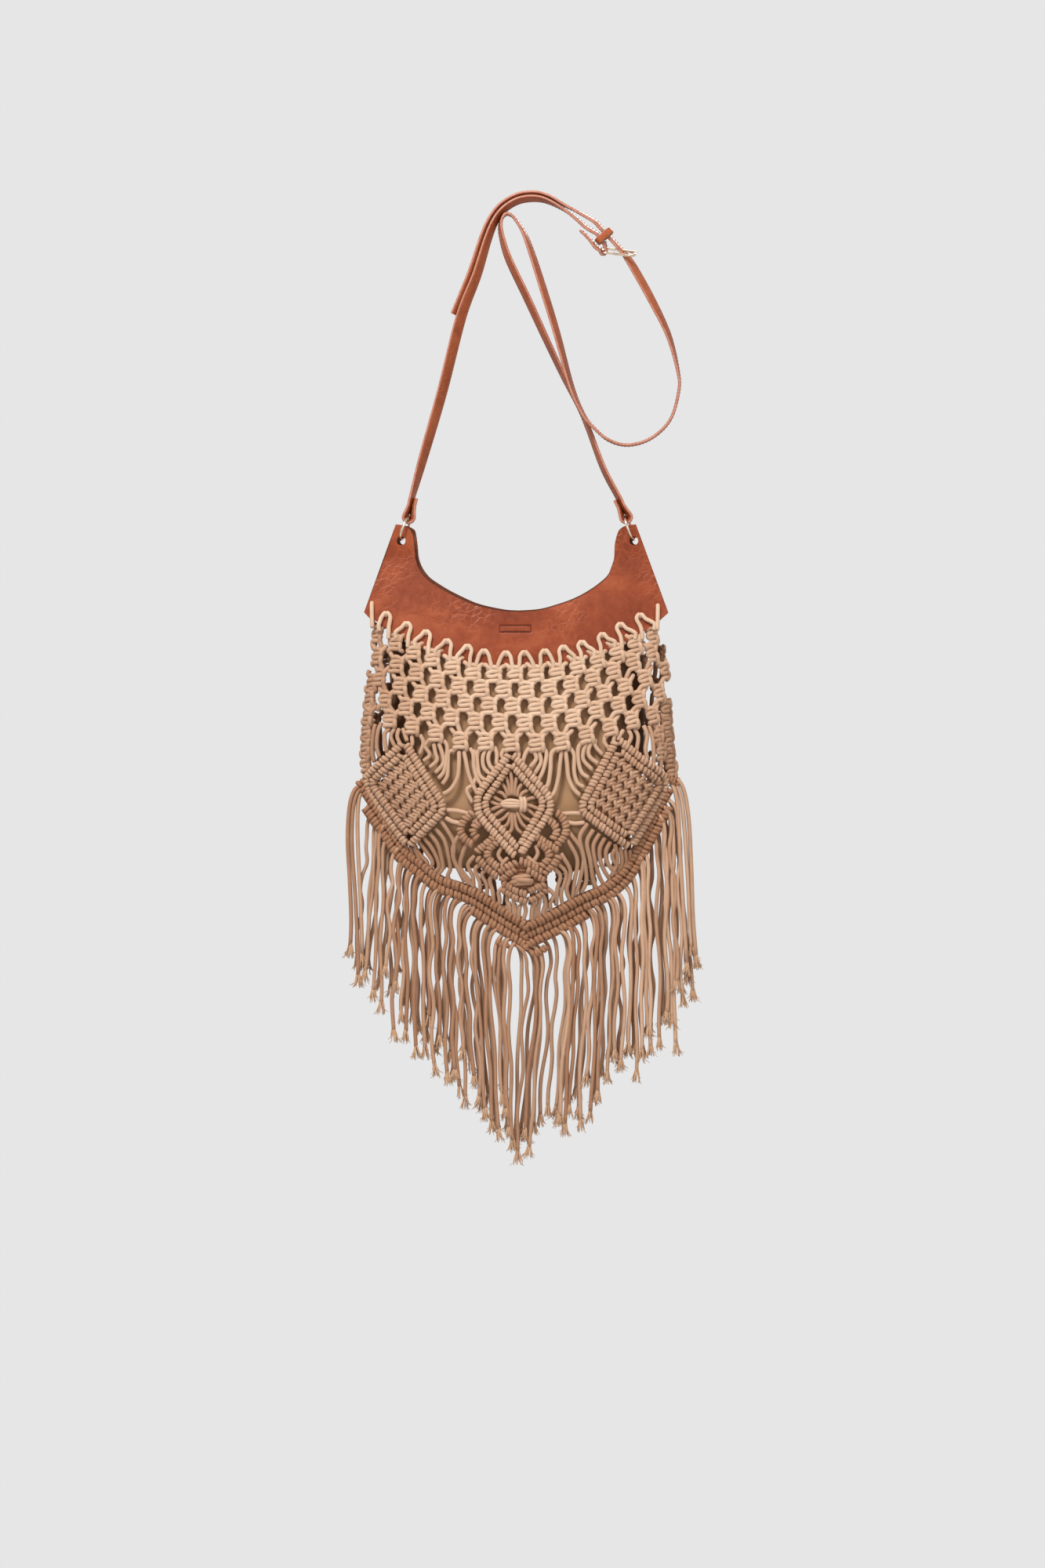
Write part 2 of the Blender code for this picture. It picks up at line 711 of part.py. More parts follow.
def build_rosette(finish):
    outer = rosette_loop()
    block = densify(grow(diamond_loop("diamond_centre"), GAP), RIM_PARTS)
    gaps = [diamond_shape(chart(across, down), half_width * HALF_WIDTH, half_height * HALF_WIDTH)
            for across, down, half_width, half_height in ROSETTE_GAPS]
    across, down, half_width, half_height = BERRY
    berry = diamond_shape(chart(across, down), half_width * HALF_WIDTH, half_height * HALF_WIDTH)
    berry_middle = chart(across, down)

    def lift(x, z):
        return RIM_WALL + CORD / 2 if math.dist((x, z), berry_middle) < CORD / 2 else FILL_WALL

    return plate("rosette", outer, [block] + gaps, (0.0, FILL_WALL), finish, -1, BODY_SKIN,
                 berry + [berry_middle], lift)


def build_border(name, facing, finish):
    upper, lower = band_edges()
    rows = 4
    ridges = []
    for share in [i / rows for i in range(1, rows)]:
        ridges.append([tuple(a[k] + (b[k] - a[k]) * share for k in (0, 1)) for a, b in zip(upper, lower)])
    middle = {p for line in ridges[1::2] for p in line}
    rounded = {(round(x, 6), round(z, 6)) for x, z in middle}

    def lift(x, z):
        return BORDER_WALL - CORD / 4 if (round(x, 6), round(z, 6)) in rounded else BORDER_WALL

    inner = [p for line in ridges for p in line[1:-1]]
    blocks = [densify(grow(diamond_loop(each), GAP), RIM_PARTS) for each in DIAMONDS] if facing < 0 else []
    return plate(name, upper + lower[::-1], blocks, (0.0, BORDER_WALL), finish, facing, BODY_SKIN, inner, lift)


def build_fringe(name, facing, locks, finish):
    """Locks of cord ends hanging from a head that follows the border's lower edge."""
    _, line = band_edges(GAP)
    left, right = line[0][0], line[-1][0]
    step = (right - left) / locks
    pointed = [((x - BODY_SHIFT) / HALF_WIDTH, z) for x, z in line]

    def head_z(x):
        return read_table(pointed, (x - BODY_SHIFT) / HALF_WIDTH, 1) - FRINGE_HEAD

    lower = []
    for i in range(locks):
        x = right - (i + 0.5) * step
        across = (x - BODY_SHIFT) / HALF_WIDTH
        foot = x + FAN * HALF_WIDTH * across * abs(across)
        ragged = RAGGED * math.sin(RAGGED_TURN * i + facing)
        foot_z = YOKE_TOP - BODY_HEIGHT * (read_table(FRINGE_ENDS, across, 1) - ragged)
        width = LOCK_FILL * step
        belly_z = foot_z + LOCK_BELLY_RISE * (head_z(x) - foot_z)
        lower += [(foot + LOCK_BELLY * width, belly_z), (foot + width, foot_z), (foot - width, foot_z),
                  (foot - LOCK_BELLY * width, belly_z)]
        if i < locks - 1:
            notch = right - (i + 1) * step
            lower.append((notch, head_z(notch)))
    return plate(name, line + lower, [], (0.0, FRINGE_WALL), finish, facing, BODY_SKIN)


# Lining

def build_lining(finish):
    """Hollow cloth pouch, open at the top."""
    def ring(shape, down, width, depth, inset):
        x0, z = chart(0.0, down)
        made = []
        for i in range(LINING_SIDES):
            turn = 2 * math.pi * (i + 0.5) / LINING_SIDES
            c, s = math.cos(turn), math.sin(turn)
            x = (width * HALF_WIDTH - inset) * math.copysign(abs(c) ** (2 / SECTION_POWER), c)
            y = max(depth * HALF_DEPTH - inset, 0.0004) * math.copysign(abs(s) ** (2 / SECTION_POWER), s)
            made.append(shape.verts.new((x0 + x, y, z)))
        return made

    shape = bmesh.new()
    outer = [ring(shape, *row, 0.0) for row in LINING_SECTIONS]
    inner = [ring(shape, *row, LINING_WALL) for row in LINING_SECTIONS[:-1]]
    for rows, out in ((outer, True), (inner, False)):
        for a, b in zip(rows, rows[1:]):
            for i in range(LINING_SIDES):
                j = (i + 1) % LINING_SIDES
                loop = [a[i], b[i], b[j], a[j]]
                shape.faces.new(loop if out else loop[::-1])
    shape.faces.new(outer[-1][::-1])
    shape.faces.new(inner[-1])
    for i in range(LINING_SIDES):
        j = (i + 1) % LINING_SIDES
        shape.faces.new([outer[0][j], inner[0][j], inner[0][i], outer[0][i]])
    bmesh.ops.recalc_face_normals(shape, faces=shape.faces[:])
    return add_object("lining", shape, finish)


# Strap and metal

def smooth_path(rows, steps):
    """Rows joined by a curve that passes through each of them."""
    made = []
    for i in range(len(rows) - 1):
        p = [Vector(rows[min(max(i + k, 0), len(rows) - 1)]) for k in (-1, 0, 1, 2)]
        for s in range(steps):
            t = s / steps
            made.append(0.5 * (2 * p[1] + (p[2] - p[0]) * t + (2 * p[0] - 5 * p[1] + 4 * p[2] - p[3]) * t ** 2
                               + (3 * p[1] - p[0] - 3 * p[2] + p[3]) * t ** 3))
    return made + [Vector(rows[-1])]


def sweep(shape, sections, closed=False):
    """Skin a row of equal loops, with flat ends unless it closes on itself."""
    rings = [[shape.verts.new(p) for p in section] for section in sections]
    pairs = list(zip(rings, rings[1:])) + ([(rings[-1], rings[0])] if closed else [])
    for a, b in pairs:
        for i in range(len(a)):
            j = (i + 1) % len(a)
            shape.faces.new([a[i], a[j], b[j], b[i]])
    if not closed:
        shape.faces.new(rings[0][::-1])
        shape.faces.new(rings[-1])
    if shape.calc_volume(signed=True) < 0:
        bmesh.ops.reverse_faces(shape, faces=shape.faces[:])


def build_ribbon(name, rows, finish, bar_rows=()):
    """A flat strap along rows of x, y, z and twist in degrees. Where it goes round the bar, it lies along the bar."""
    shape = bmesh.new()
    sections = []
    for i, row in enumerate(rows):
        before, after = rows[max(0, i - 1)], rows[min(len(rows) - 1, i + 1)]
        run = Vector((after[0] - before[0], 0.0, after[2] - before[2])).normalized()
        side = Vector((-run.z, 0.0, run.x))
        turn = math.radians(row[3])
        across = math.cos(turn) * Vector((0, 1, 0)) + math.sin(turn) * side
        if i in bar_rows:
            run = Vector(after[:3]) - Vector(before[:3])
            across = buckle_axes()[1]
        through = across.cross(run).normalized()
        place = Vector(row[:3])
        half_width, half_wall = STRAP_WIDTH / 2, STRAP_THICKNESS / 2
        sections.append([place + a * half_width * across + b * half_wall * through
                         for a, b in ((-1, -1), (1, -1), (1, 1), (-1, 1))])
    sweep(shape, sections)
    return add_object(name, shape, finish)


def ring_centre_line(side):
    """Bottom and top of a ring's wire, which hangs its hole's upper edge and leans inwards."""
    reach = yoke_depth(BODY_SHIFT + RING_HOLE_OFFSET, RING_HOLE_Z) + YOKE_WALL / 2
    rise = (RING_RADIUS - math.sqrt(RING_RADIUS ** 2 - reach ** 2)) * math.cos(RING_LEAN)
    seat = RING_HOLE_RADIUS * math.cos(math.pi / 10) - RING_WIRE - GAP - rise
    bottom = Vector((BODY_SHIFT + side * RING_HOLE_OFFSET, 0.0, RING_HOLE_Z + seat))
    lean = Vector((-side * math.sin(RING_LEAN), 0.0, math.cos(RING_LEAN)))
    return bottom, bottom + 2 * RING_RADIUS * lean


def build_ring(name, side, finish):
    bottom, top = ring_centre_line(side)
    middle = (bottom + top) / 2
    up = (top - bottom).normalized()
    sections = []
    count = 18
    for i in range(count):
        turn = 2 * math.pi * i / count
        out = math.cos(turn) * up + math.sin(turn) * Vector((0, 1, 0))
        along = up.cross(Vector((0, 1, 0)))
        sections.append([middle + RING_RADIUS * out + RING_WIRE * (math.cos(t) * out + math.sin(t) * along)
                         for t in [2 * math.pi * k / 6 for k in range(6)]])
    shape = bmesh.new()
    sweep(shape, sections, closed=True)
    return add_object(name, shape, finish)


def fold_rows(side, toward, turn_sign, twist):
    """Strap rows round a ring: the folded-back end, the bend, and the start of the main layer."""
    bottom, top = ring_centre_line(side)
    dip = RING_RADIUS - math.sqrt(RING_RADIUS ** 2 - (STRAP_WIDTH / 2) ** 2)
    centre = top + (bottom - top).normalized() * dip / 2
    radius = RING_WIRE + dip / 2 + FOLD_CLEARANCE + STRAP_THICKNESS / 2
    beside = STRAP_THICKNESS / 2 + GAP
    out = turn_sign * Vector((-toward.z, 0.0, toward.x))
    rows = [centre + toward * FOLD_RETURN - out * beside,
            centre + toward * 0.6 * FOLD_RETURN - out * beside,
            centre + toward * 1.7 * radius - out * beside * 1.5]
    for degrees in (-20, 30, 60, 90, 120, 150, 200):
        angle = math.radians(degrees)
        rows.append(centre - out * radius * math.cos(angle) - toward * radius * math.sin(angle))
    rows += [centre + toward * 1.7 * radius + out * beside * 1.5,
             centre + toward * 0.6 * FOLD_RETURN + out * beside,
             centre + toward * FOLD_RETURN + out * beside]
    return [(*p, twist) for p in rows]


def strap_place(across, down, back, twist):
    """A strap row in metres, measured from the hanging place."""
    return (across * STRAP_DROP, back, -down * STRAP_DROP, twist)


def bar_centre():
    across, down = BAR_PLACE
    x, _, z, _ = strap_place(across, down, 0.0, 0.0)
    return Vector((x, 0.0, z))


def buckle_axes():
    along = Vector((math.cos(BUCKLE_LEAN), 0.0, math.sin(BUCKLE_LEAN)))
    side = Vector((-along.z, 0.0, along.x))
    turn = math.radians(BUCKLE_ROLL)
    across = math.cos(turn) * Vector((0, 1, 0)) + math.sin(turn) * side
    return along, across, along.cross(across)


def cut_slot(target, centre, axes, sizes):
    """Cut a box-shaped slot through a strap."""
    shape = bmesh.new()
    bmesh.ops.create_cube(shape, size=1.0)
    for vert in shape.verts:
        vert.co = centre + sum((vert.co[k] * sizes[k] * axes[k] for k in range(3)), Vector())
    bmesh.ops.recalc_face_normals(shape, faces=shape.faces[:])
    mesh = bpy.data.meshes.new(target.name + "_slot")
    shape.to_mesh(mesh)
    shape.free()
    cutter = bpy.data.objects.new(target.name + "_slot", mesh)
    cutter.hide_render = True
    cutter.display_type = "WIRE"
    bpy.context.scene.collection.objects.link(cutter)
    cut = target.modifiers.new("slot", "BOOLEAN")
    cut.operation = "DIFFERENCE"
    cut.solver = "EXACT"
    cut.object = cutter


def build_buckle_strap(finish):
    _, top = ring_centre_line(-1)
    first = Vector(strap_place(*BUCKLE_ROUTE[0])[:3])
    toward = (first - top).normalized()
    rows = fold_rows(-1, toward, 1, 0.0)
    rows += smooth_path([rows[-1]] + [strap_place(*row) for row in BUCKLE_ROUTE], 3)[1:]
    bar = bar_centre()
    radius = BUCKLE_WIRE + FOLD_CLEARANCE + STRAP_THICKNESS / 2
    axes = buckle_axes()
    start = len(rows)
    for degrees in (30, 0, -30, -60, -90, -120, -150, -180):
        angle = math.radians(degrees)
        rows.append((*(bar + radius * (math.cos(angle) * axes[0] + math.sin(angle) * axes[2])), 0.0))
    bar_rows = range(start, len(rows))
    rows += [strap_place(*row) for row in RETURN_ROUTE]
    strap = build_ribbon("buckle_strap", rows, finish, bar_rows)
    reach = 2 * (radius + STRAP_THICKNESS)
    cut_slot(strap, bar, axes, (reach, PRONG_SLOT, reach))
    return strap


def beside_rows(first, last):
    """Rows that run along the outer face of the other strap, one layer and a gap away."""
    base = [strap_place(*row) for row in BUCKLE_ROUTE]
    made = []
    for i in range(first, last - 1, -1):
        before, after = base[i - 1], base[i + 1]
        run = Vector((after[0] - before[0], 0.0, after[2] - before[2])).normalized()
        twist = base[i][3]
        away = (STRAP_THICKNESS + TAIL_GAP) / math.cos(math.radians(twist))
        made.append((base[i][0] - run.z * away, 0.0, base[i][2] + run.x * away, -twist))
    return made


def build_long_strap(finish):
    _, top = ring_centre_line(1)
    first = Vector(strap_place(*LONG_ROUTE[0])[:3])
    toward = (Vector((first.x, 0.0, first.z)) - top).normalized()
    fold = fold_rows(1, toward, -1, 0.0)
    route = [fold[-1]] + [strap_place(*row) for row in LONG_ROUTE] + beside_rows(TAIL_ROWS[0] - 1, TAIL_ROWS[1])
    rows = fold + smooth_path(route, 2)[1:]
    strap = build_ribbon("long_strap", rows, finish)
    along, across, up = buckle_axes()
    place = bar_centre() + along * PRONG_HOLE_AT * BUCKLE_LENGTH
    cut_slot(strap, place, (along, across, up), (PRONG_HOLE_LENGTH, PRONG_SLOT, PRONG_HOLE_DEPTH))
    return strap


def build_buckle_frame(finish):
    """Oval wire with a straight bar at its left end."""
    along, across, up = buckle_axes()
    bar = bar_centre()
    half = BUCKLE_HALF_WIDTH
    corner = 0.35 * half
    outline = [(0.0, -half + corner), (0.0, half - corner), (0.3 * corner, half - 0.3 * corner), (corner, half)]
    bend = BUCKLE_LENGTH - half
    outline.append((bend, half))
    for degrees in (60, 30, 0, -30, -60):
        angle = math.radians(degrees)
        outline.append((bend + half * math.cos(angle), half * math.sin(angle)))
    outline += [(bend, -half), (corner, -half), (0.3 * corner, -half + 0.3 * corner)]
    centres = [bar + a * along + b * across for a, b in outline]
    sections = []
    for i, place in enumerate(centres):
        run = (centres[(i + 1) % len(centres)] - centres[i - 1]).normalized()
        side = run.cross(up)
        sections.append([place + BUCKLE_WIRE * (math.cos(t) * side + math.sin(t) * up)
                         for t in [2 * math.pi * k / 6 for k in range(6)]])
    shape = bmesh.new()
    sweep(shape, sections, closed=True)
    return add_object("buckle_frame", shape, finish)


def build_prong(finish):
    """Pin that curls over the bar and rests on the far end of the frame."""
    along, across, up = buckle_axes()
    bar = bar_centre()
    lift = BUCKLE_WIRE + GAP + PRONG_RADIUS
    places = [bar + lift * (math.cos(math.radians(a)) * along + math.sin(math.radians(a)) * up)
              for a in (200, 170, 140, 110, 85)]
    places += [bar + along * share * BUCKLE_LENGTH + up * lift for share in (0.35, 0.7, 0.95, 1.06)]
    sections = []
    for i, place in enumerate(places):
        run = (places[min(i + 1, len(places) - 1)] - places[max(i - 1, 0)]).normalized()
        side = run.cross(across)
        sections.append([place + PRONG_RADIUS * (math.cos(t) * side + math.sin(t) * across)
                         for t in [2 * math.pi * k / 6 for k in range(6)]])
    shape = bmesh.new()
    sweep(shape, sections)
    return add_object("buckle_prong", shape, finish)


def build_keeper(finish):
    """Leather band round both layers of the strap."""
    x, _, z, _ = strap_place(*KEEPER_PLACE, 0.0, 0.0)
    middle = Vector((x, 0.0, z))
    along = Vector((math.cos(KEEPER_HEADING), 0.0, math.sin(KEEPER_HEADING)))
    up = Vector((-along.z, 0.0, along.x))
    count = 20
    sections = []
    for i in range(count):
        turn = 2 * math.pi * (i + 0.5) / count
        c, s = math.cos(turn), math.sin(turn)
        shares = [math.copysign(abs(v) ** 0.55, v) for v in (c, s)]
        made = []
        for wall, edge in ((0, -1), (0, 1), (1, 1), (1, -1)):
            place = middle + (KEEPER_HALF_HEIGHT + wall * KEEPER_WALL) * shares[0] * up
            place += (KEEPER_HALF_WIDTH + wall * KEEPER_WALL) * shares[1] * Vector((0, 1, 0))
            made.append(place + edge * KEEPER_WIDTH / 2 * along)
        sections.append(made)
    shape = bmesh.new()
    sweep(shape, sections, closed=True)
    return add_object("keeper_loop", shape, finish)


def build():
    clear_scene()
    leather = material("leather", (0.445, 0.102, 0.040), 0.45)
    cord = material("cord", (0.610, 0.352, 0.205), 0.85)
    cloth = material("cloth", (0.515, 0.328, 0.171), 0.80)
    metal = material("metal", (0.850, 0.720, 0.500), 0.25, 1.0)
    for side, facing in (("front", -1), ("back", 1)):
        build_yoke("yoke_" + side, facing, leather)
        build_lacing("lacing_" + side, facing, cord)
        build_border("border_" + side, facing, cord)
    build_fringe("fringe_front", -1, FRONT_LOCKS, cord)
    build_fringe("fringe_back", 1, BACK_LOCKS, cord)
    build_front_net(cord)
    build_back_net(cord)
    for name in DIAMONDS:
        build_diamond(name, cord)
    build_rosette(cord)
    build_lining(cloth)
    build_ring("ring_left", -1, metal)
    build_ring("ring_right", 1, metal)
    build_buckle_strap(leather)
    build_long_strap(leather)
    build_buckle_frame(metal)
    build_prong(metal)
    build_keeper(leather)


build()
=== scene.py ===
"""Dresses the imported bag: knotted cotton cords, creased leather, a cloth lining and pale gold metal."""

import json
import math

import bmesh
import bpy
import numpy as np
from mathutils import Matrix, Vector
from mathutils.geometry import delaunay_2d_cdt

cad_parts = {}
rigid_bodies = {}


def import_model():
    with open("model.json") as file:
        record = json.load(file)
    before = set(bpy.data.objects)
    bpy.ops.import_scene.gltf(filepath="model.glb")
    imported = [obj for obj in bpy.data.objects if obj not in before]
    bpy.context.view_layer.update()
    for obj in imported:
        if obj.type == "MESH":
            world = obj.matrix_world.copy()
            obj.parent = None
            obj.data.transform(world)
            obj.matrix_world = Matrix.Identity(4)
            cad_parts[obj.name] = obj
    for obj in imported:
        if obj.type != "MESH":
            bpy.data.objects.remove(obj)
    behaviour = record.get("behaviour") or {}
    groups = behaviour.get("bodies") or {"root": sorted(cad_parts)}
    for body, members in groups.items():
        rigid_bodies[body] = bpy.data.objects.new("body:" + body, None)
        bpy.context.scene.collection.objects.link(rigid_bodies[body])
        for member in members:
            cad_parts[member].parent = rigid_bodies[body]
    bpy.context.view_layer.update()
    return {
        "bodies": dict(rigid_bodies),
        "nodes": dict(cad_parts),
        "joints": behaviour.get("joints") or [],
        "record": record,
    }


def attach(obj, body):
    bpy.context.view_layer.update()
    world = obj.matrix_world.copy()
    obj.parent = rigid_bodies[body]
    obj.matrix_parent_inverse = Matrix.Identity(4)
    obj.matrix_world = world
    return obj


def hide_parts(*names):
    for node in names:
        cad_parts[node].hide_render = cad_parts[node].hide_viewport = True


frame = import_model()
rng = np.random.default_rng(11)

# Sizes shared with the solids, in metres
HALF_WIDTH = 0.140
BODY_HEIGHT = 0.387
HALF_DEPTH = 0.024
BODY_SHIFT = 0.007
GAP = 0.0003
SECTION_POWER = 3.0
CLOSING = 0.070
YOKE_HEIGHT = 0.129
YOKE_WALL = 0.002
YOKE_FLATNESS = 0.150
CORNER_DROP = 0.0855
ARC_HALF_CHORD = 0.128
STRAP_DROP = 0.2905
RING_HOLE_OFFSET = 0.1038
RING_HOLE_DROP = 0.0154
RING_HOLE_RADIUS = 0.004
RING_RADIUS = 0.011
RING_WIRE = 0.0011
RING_LEAN = math.radians(19)
RING_TURN = math.radians(11)
STRAP_WIDTH = 0.012
STRAP_THICKNESS = 0.0024
STRAP_ROUNDING = 0.0009
STITCH_PITCH = 0.0032
STITCH_LINE = 0.0044
STITCH_RADIUS = 0.00022
FOLD_CLEARANCE = 0.0004
FOLD_RETURN = 0.018
FOLD_TWIST = 18.0
BUCKLE_LENGTH = 0.0289
BUCKLE_LEAN = math.radians(-7)
BUCKLE_ROLL = math.radians(18)
BUCKLE_WIRE = 0.0011
BUCKLE_HALF_WIDTH = 0.0085
PRONG_RADIUS = 0.0008
KEEPER_WIDTH = 0.0063
KEEPER_WALL = 0.0015
KEEPER_HALF_HEIGHT = 0.0073
KEEPER_HALF_WIDTH = 0.0071
LINING_WALL = 0.0012
YOKE_TOP = -(STRAP_DROP - RING_HOLE_DROP)
RING_HOLE_Z = -STRAP_DROP

BODY_SECTIONS = np.array((
    # down, width, depth
    (0.0, 0.9, 0.1), (0.08, 0.9, 0.14), (0.2, 0.9, 0.52), (0.3, 0.925, 0.8), (0.5, 0.965, 1.0),
    (0.61, 0.99, 1.0), (0.8, 1.0, 0.9), (1.05, 1.0, 0.8)))
BORDER_LINE = np.array((
    # across, down, half width
    (-0.945, 0.608, 0.043), (-0.835, 0.684, 0.043), (-0.71, 0.76, 0.046), (-0.62, 0.79, 0.055),
    (-0.525, 0.817, 0.055), (-0.415, 0.841, 0.06), (-0.3, 0.864, 0.08), (-0.125, 0.906, 0.084),
    (0.045, 0.957, 0.086), (0.14, 0.937, 0.084), (0.27, 0.913, 0.08), (0.395, 0.886, 0.075),
    (0.52, 0.858, 0.058), (0.61, 0.84, 0.055), (0.675, 0.815, 0.052), (0.75, 0.768, 0.046),
    (0.85, 0.684, 0.043), (0.945, 0.61, 0.043)))
LINING_SECTIONS = np.array((
    # down, width, depth
    (0.245, 0.79, 0.675), (0.33, 0.8, 0.8), (0.45, 0.81, 0.9), (0.56, 0.8, 0.92), (0.65, 0.76, 0.85),
    (0.72, 0.68, 0.7), (0.765, 0.58, 0.48), (0.795, 0.44, 0.2)))

# The front is charted in units of 0.7 mm: right from CHART_X, down from CHART_Y. Lifts are in millimetres.
UNIT = 0.0007
CHART_X = 650
CHART_Y = 275
MIDDLE = 660                # the body's middle, its half width and height, and the top of the yoke
CHART_HALF = 200
CHART_HEIGHT = 553
CHART_TOP = 669
NET_MIDDLE = 657
CORD_RADIUS = 2.75
KNOT_RADIUS = 3.0
FILL_RADIUS = 2.6           # cores, and the dark cords of painted shade in the gaps behind other cords
# Painted shade: how far a cord's tone drops on the side that looks into the bag
INWARD_PAINTED_SHADE = 0.45


# Skins that the chart is laid on

def chart(x, y):
    return (np.asarray(x, float) - CHART_X) * UNIT, (CHART_Y - np.asarray(y, float)) * UNIT


def look_up(table, at, column=1):
    return np.interp(at, table[:, 0], table[:, column])


def down_of(z):
    return (YOKE_TOP - z) / BODY_HEIGHT


def body_limit(z):
    return HALF_WIDTH * look_up(BODY_SECTIONS, down_of(z))


def bulge(z):
    return HALF_DEPTH * look_up(BODY_SECTIONS, down_of(z), 2)


def rounded(share):
    return (1.0 - np.minimum(1.0, share) ** SECTION_POWER) ** (1.0 / SECTION_POWER)


def body_depth(x, z):
    away = x - BODY_SHIFT
    above = np.clip((look_up(BORDER_LINE, away / HALF_WIDTH) - down_of(z)) * BODY_HEIGHT / CLOSING, 0.0, 1.0)
    return GAP + bulge(z) * np.sin(0.5 * math.pi * above) * rounded(np.abs(away) / body_limit(z))


def yoke_limit(z):
    return YOKE_FLATNESS + 0.0 * z


def yoke_depth(x, z):
    return YOKE_WALL + bulge(z) * rounded(np.abs(x - BODY_SHIFT) / YOKE_FLATNESS)


SLOPE_REACH = 0.004
BODY = (body_depth, body_limit)
YOKE = (yoke_depth, yoke_limit)


def on_skin(skin, x, z, lift, facing):
    """A point lifted square off a skin, on its front for facing -1 and on its back for 1."""
    depth, limit = skin
    edge = limit(z)
    low = np.maximum(-edge, x - BODY_SHIFT - SLOPE_REACH) + BODY_SHIFT
    high = np.minimum(edge, x - BODY_SHIFT + SLOPE_REACH) + BODY_SHIFT
    slope = (depth(high, z) - depth(low, z)) / np.maximum(high - low, 1e-6)
    size = np.hypot(1.0, slope)
    return np.stack([x - lift * slope / size, facing * (depth(x, z) + lift / size), z], axis=-1)


def lay(points, skin=BODY, facing=-1):
    """Chart points, as right, down and lift, on a skin."""
    points = np.asarray(points, float)
    x, z = chart(points[:, 0], points[:, 1])
    return on_skin(skin, x, z, points[:, 2] * 0.001, facing)


# Meshes of many cords

def smooth(points, steps):
    """A curve through every point, with steps to each span."""
    p = np.asarray(points, float)
    p = np.vstack([2 * p[0] - p[1], p, 2 * p[-1] - p[-2]])
    a, b, c, d = (p[k:len(p) - 3 + k, None, :] for k in range(4))
    t = (np.arange(steps) / steps)[None, :, None]
    line = 0.5 * (2 * b + (c - a) * t + (2 * a - 5 * b + 4 * c - d) * t ** 2
                  + (3 * b - a - 3 * c + d) * t ** 3)
    return np.vstack([line.reshape(-1, p.shape[1]), p[-2]])


def unit_rows(vectors):
    return vectors / np.maximum(np.linalg.norm(vectors, axis=1, keepdims=True), 1e-9)


def lengths_along(line):
    return np.concatenate([[0.0], np.cumsum(np.linalg.norm(np.diff(line, axis=0), axis=1))])


class Cords:
    """Collects tubes into one mesh. Each point keeps its tone, which holds random variation and painted
    shade, and each face its place on the cord.
    """

    def __init__(self):
        self.points, self.faces, self.places, self.tones = [], [], [], []
        self.count = 0

    def tube(self, line, radius, sides=8, tone=0.5, away=(0.0, 1.0, 0.0), inward=None):
        """inward, -1 or 1, paints shade on the side of the tube that looks into the bag by lowering its tone.
        """
        line = np.asarray(line, float)
        run = unit_rows(np.gradient(line, axis=0))
        normal = np.asarray(away, float)
        if abs(run[0] @ normal) > 0.95:
            normal = np.array((1.0, 0.0, 0.0))
        normals = np.empty_like(line)
        for i, direction in enumerate(run):
            normal = normal - direction * (normal @ direction)
            normal = normal / max(np.linalg.norm(normal), 1e-9)
            normals[i] = normal
        n = len(line)
        radius = np.broadcast_to(np.asarray(radius, float), (n,))[:, None, None]
        turn = (2 * math.pi * np.arange(sides) / sides)[None, :, None]
        out = np.cos(turn) * normals[:, None, :] + np.sin(turn) * np.cross(run, normals)[:, None, :]
        rings = line[:, None, :] + radius * out
        self.points += [rings.reshape(-1, 3), line[:1], line[-1:]]
        i, j = np.meshgrid(np.arange(n - 1), np.arange(sides), indexing="ij")
        after = (j + 1) % sides
        here, next_ring = i * sides, (i + 1) * sides
        quads = np.stack([here + j, here + after, next_ring + after, next_ring + j], axis=-1)
        self.faces.append(self.count + quads.reshape(-1, 4))
        along = lengths_along(line) / (2 * math.pi * radius[0, 0, 0]) + rng.random()
        low, high, u, v = along[i], along[i + 1], j / sides, j / sides + 1 / sides
        self.places.append(np.stack([u, low, v, low, v, high, u, high], axis=-1).reshape(-1, 4, 2))
        k = np.arange(sides)
        for ring, centre, order in ((0, n * sides, (1, 0, 2)), (n - 1, n * sides + 1, (0, 1, 2))):
            cap = (ring * sides + k, ring * sides + (k + 1) % sides, np.full(sides, centre))
            self.faces.append(self.count + np.stack([cap[c] for c in order], axis=-1))
            self.places.append(np.full((sides, 3, 2), 0.5))
        tones = np.full(n * sides + 2, tone)
        # painted shade on the tube's inward side
        if inward:
            way = (rings - line[:, None, :])[..., 1].reshape(-1) / radius.mean()
            tones[:n * sides] -= INWARD_PAINTED_SHADE * np.clip(inward * way, 0.0, 1.0)
        self.tones.append(tones)
        self.count += n * sides + 2

    def build(self, name, finish):
        mesh = bpy.data.meshes.new(name)
        faces = [tuple(f) for block in self.faces for f in block.tolist()]
        mesh.from_pydata(np.vstack(self.points).tolist(), [], faces)
        layer = mesh.uv_layers.new(name="cord")
        flat = np.concatenate([block.reshape(-1) for block in self.places])
        layer.data.foreach_set("uv", flat.astype(np.float32))
        tone = mesh.attributes.new("tone", "FLOAT", "POINT")
        tone.data.foreach_set("value", np.concatenate(self.tones).astype(np.float32))
        mesh.shade_smooth()
        return place(name, mesh, finish)


def place(name, mesh, *finishes):
    for finish in finishes:
        mesh.materials.append(finish)
    made = bpy.data.objects.new(name, mesh)
    bpy.context.scene.collection.objects.link(made)
    return made


def place_shape(name, shape, crease, *finishes):
    """A shape as an object. It's smooth, but for edges that turn more than crease degrees."""
    mesh = bpy.data.meshes.new(name)
    shape.to_mesh(mesh)
    shape.free()
    mesh.shade_smooth()
    mesh.set_sharp_from_angle(angle=math.radians(crease))
    return place(name, mesh, *finishes)


def join_rings(shape, rings, finish_of=None):
    """Faces from each ring of points to the next. finish_of gives a face's finish from its place."""
    for a, b in zip(rings, rings[1:]):
        for i in range(len(a)):
            j = (i + 1) % len(a)
            face = shape.faces.new([a[i], a[j], b[j], b[i]])
            face.material_index = finish_of(i, j) if finish_of else 0


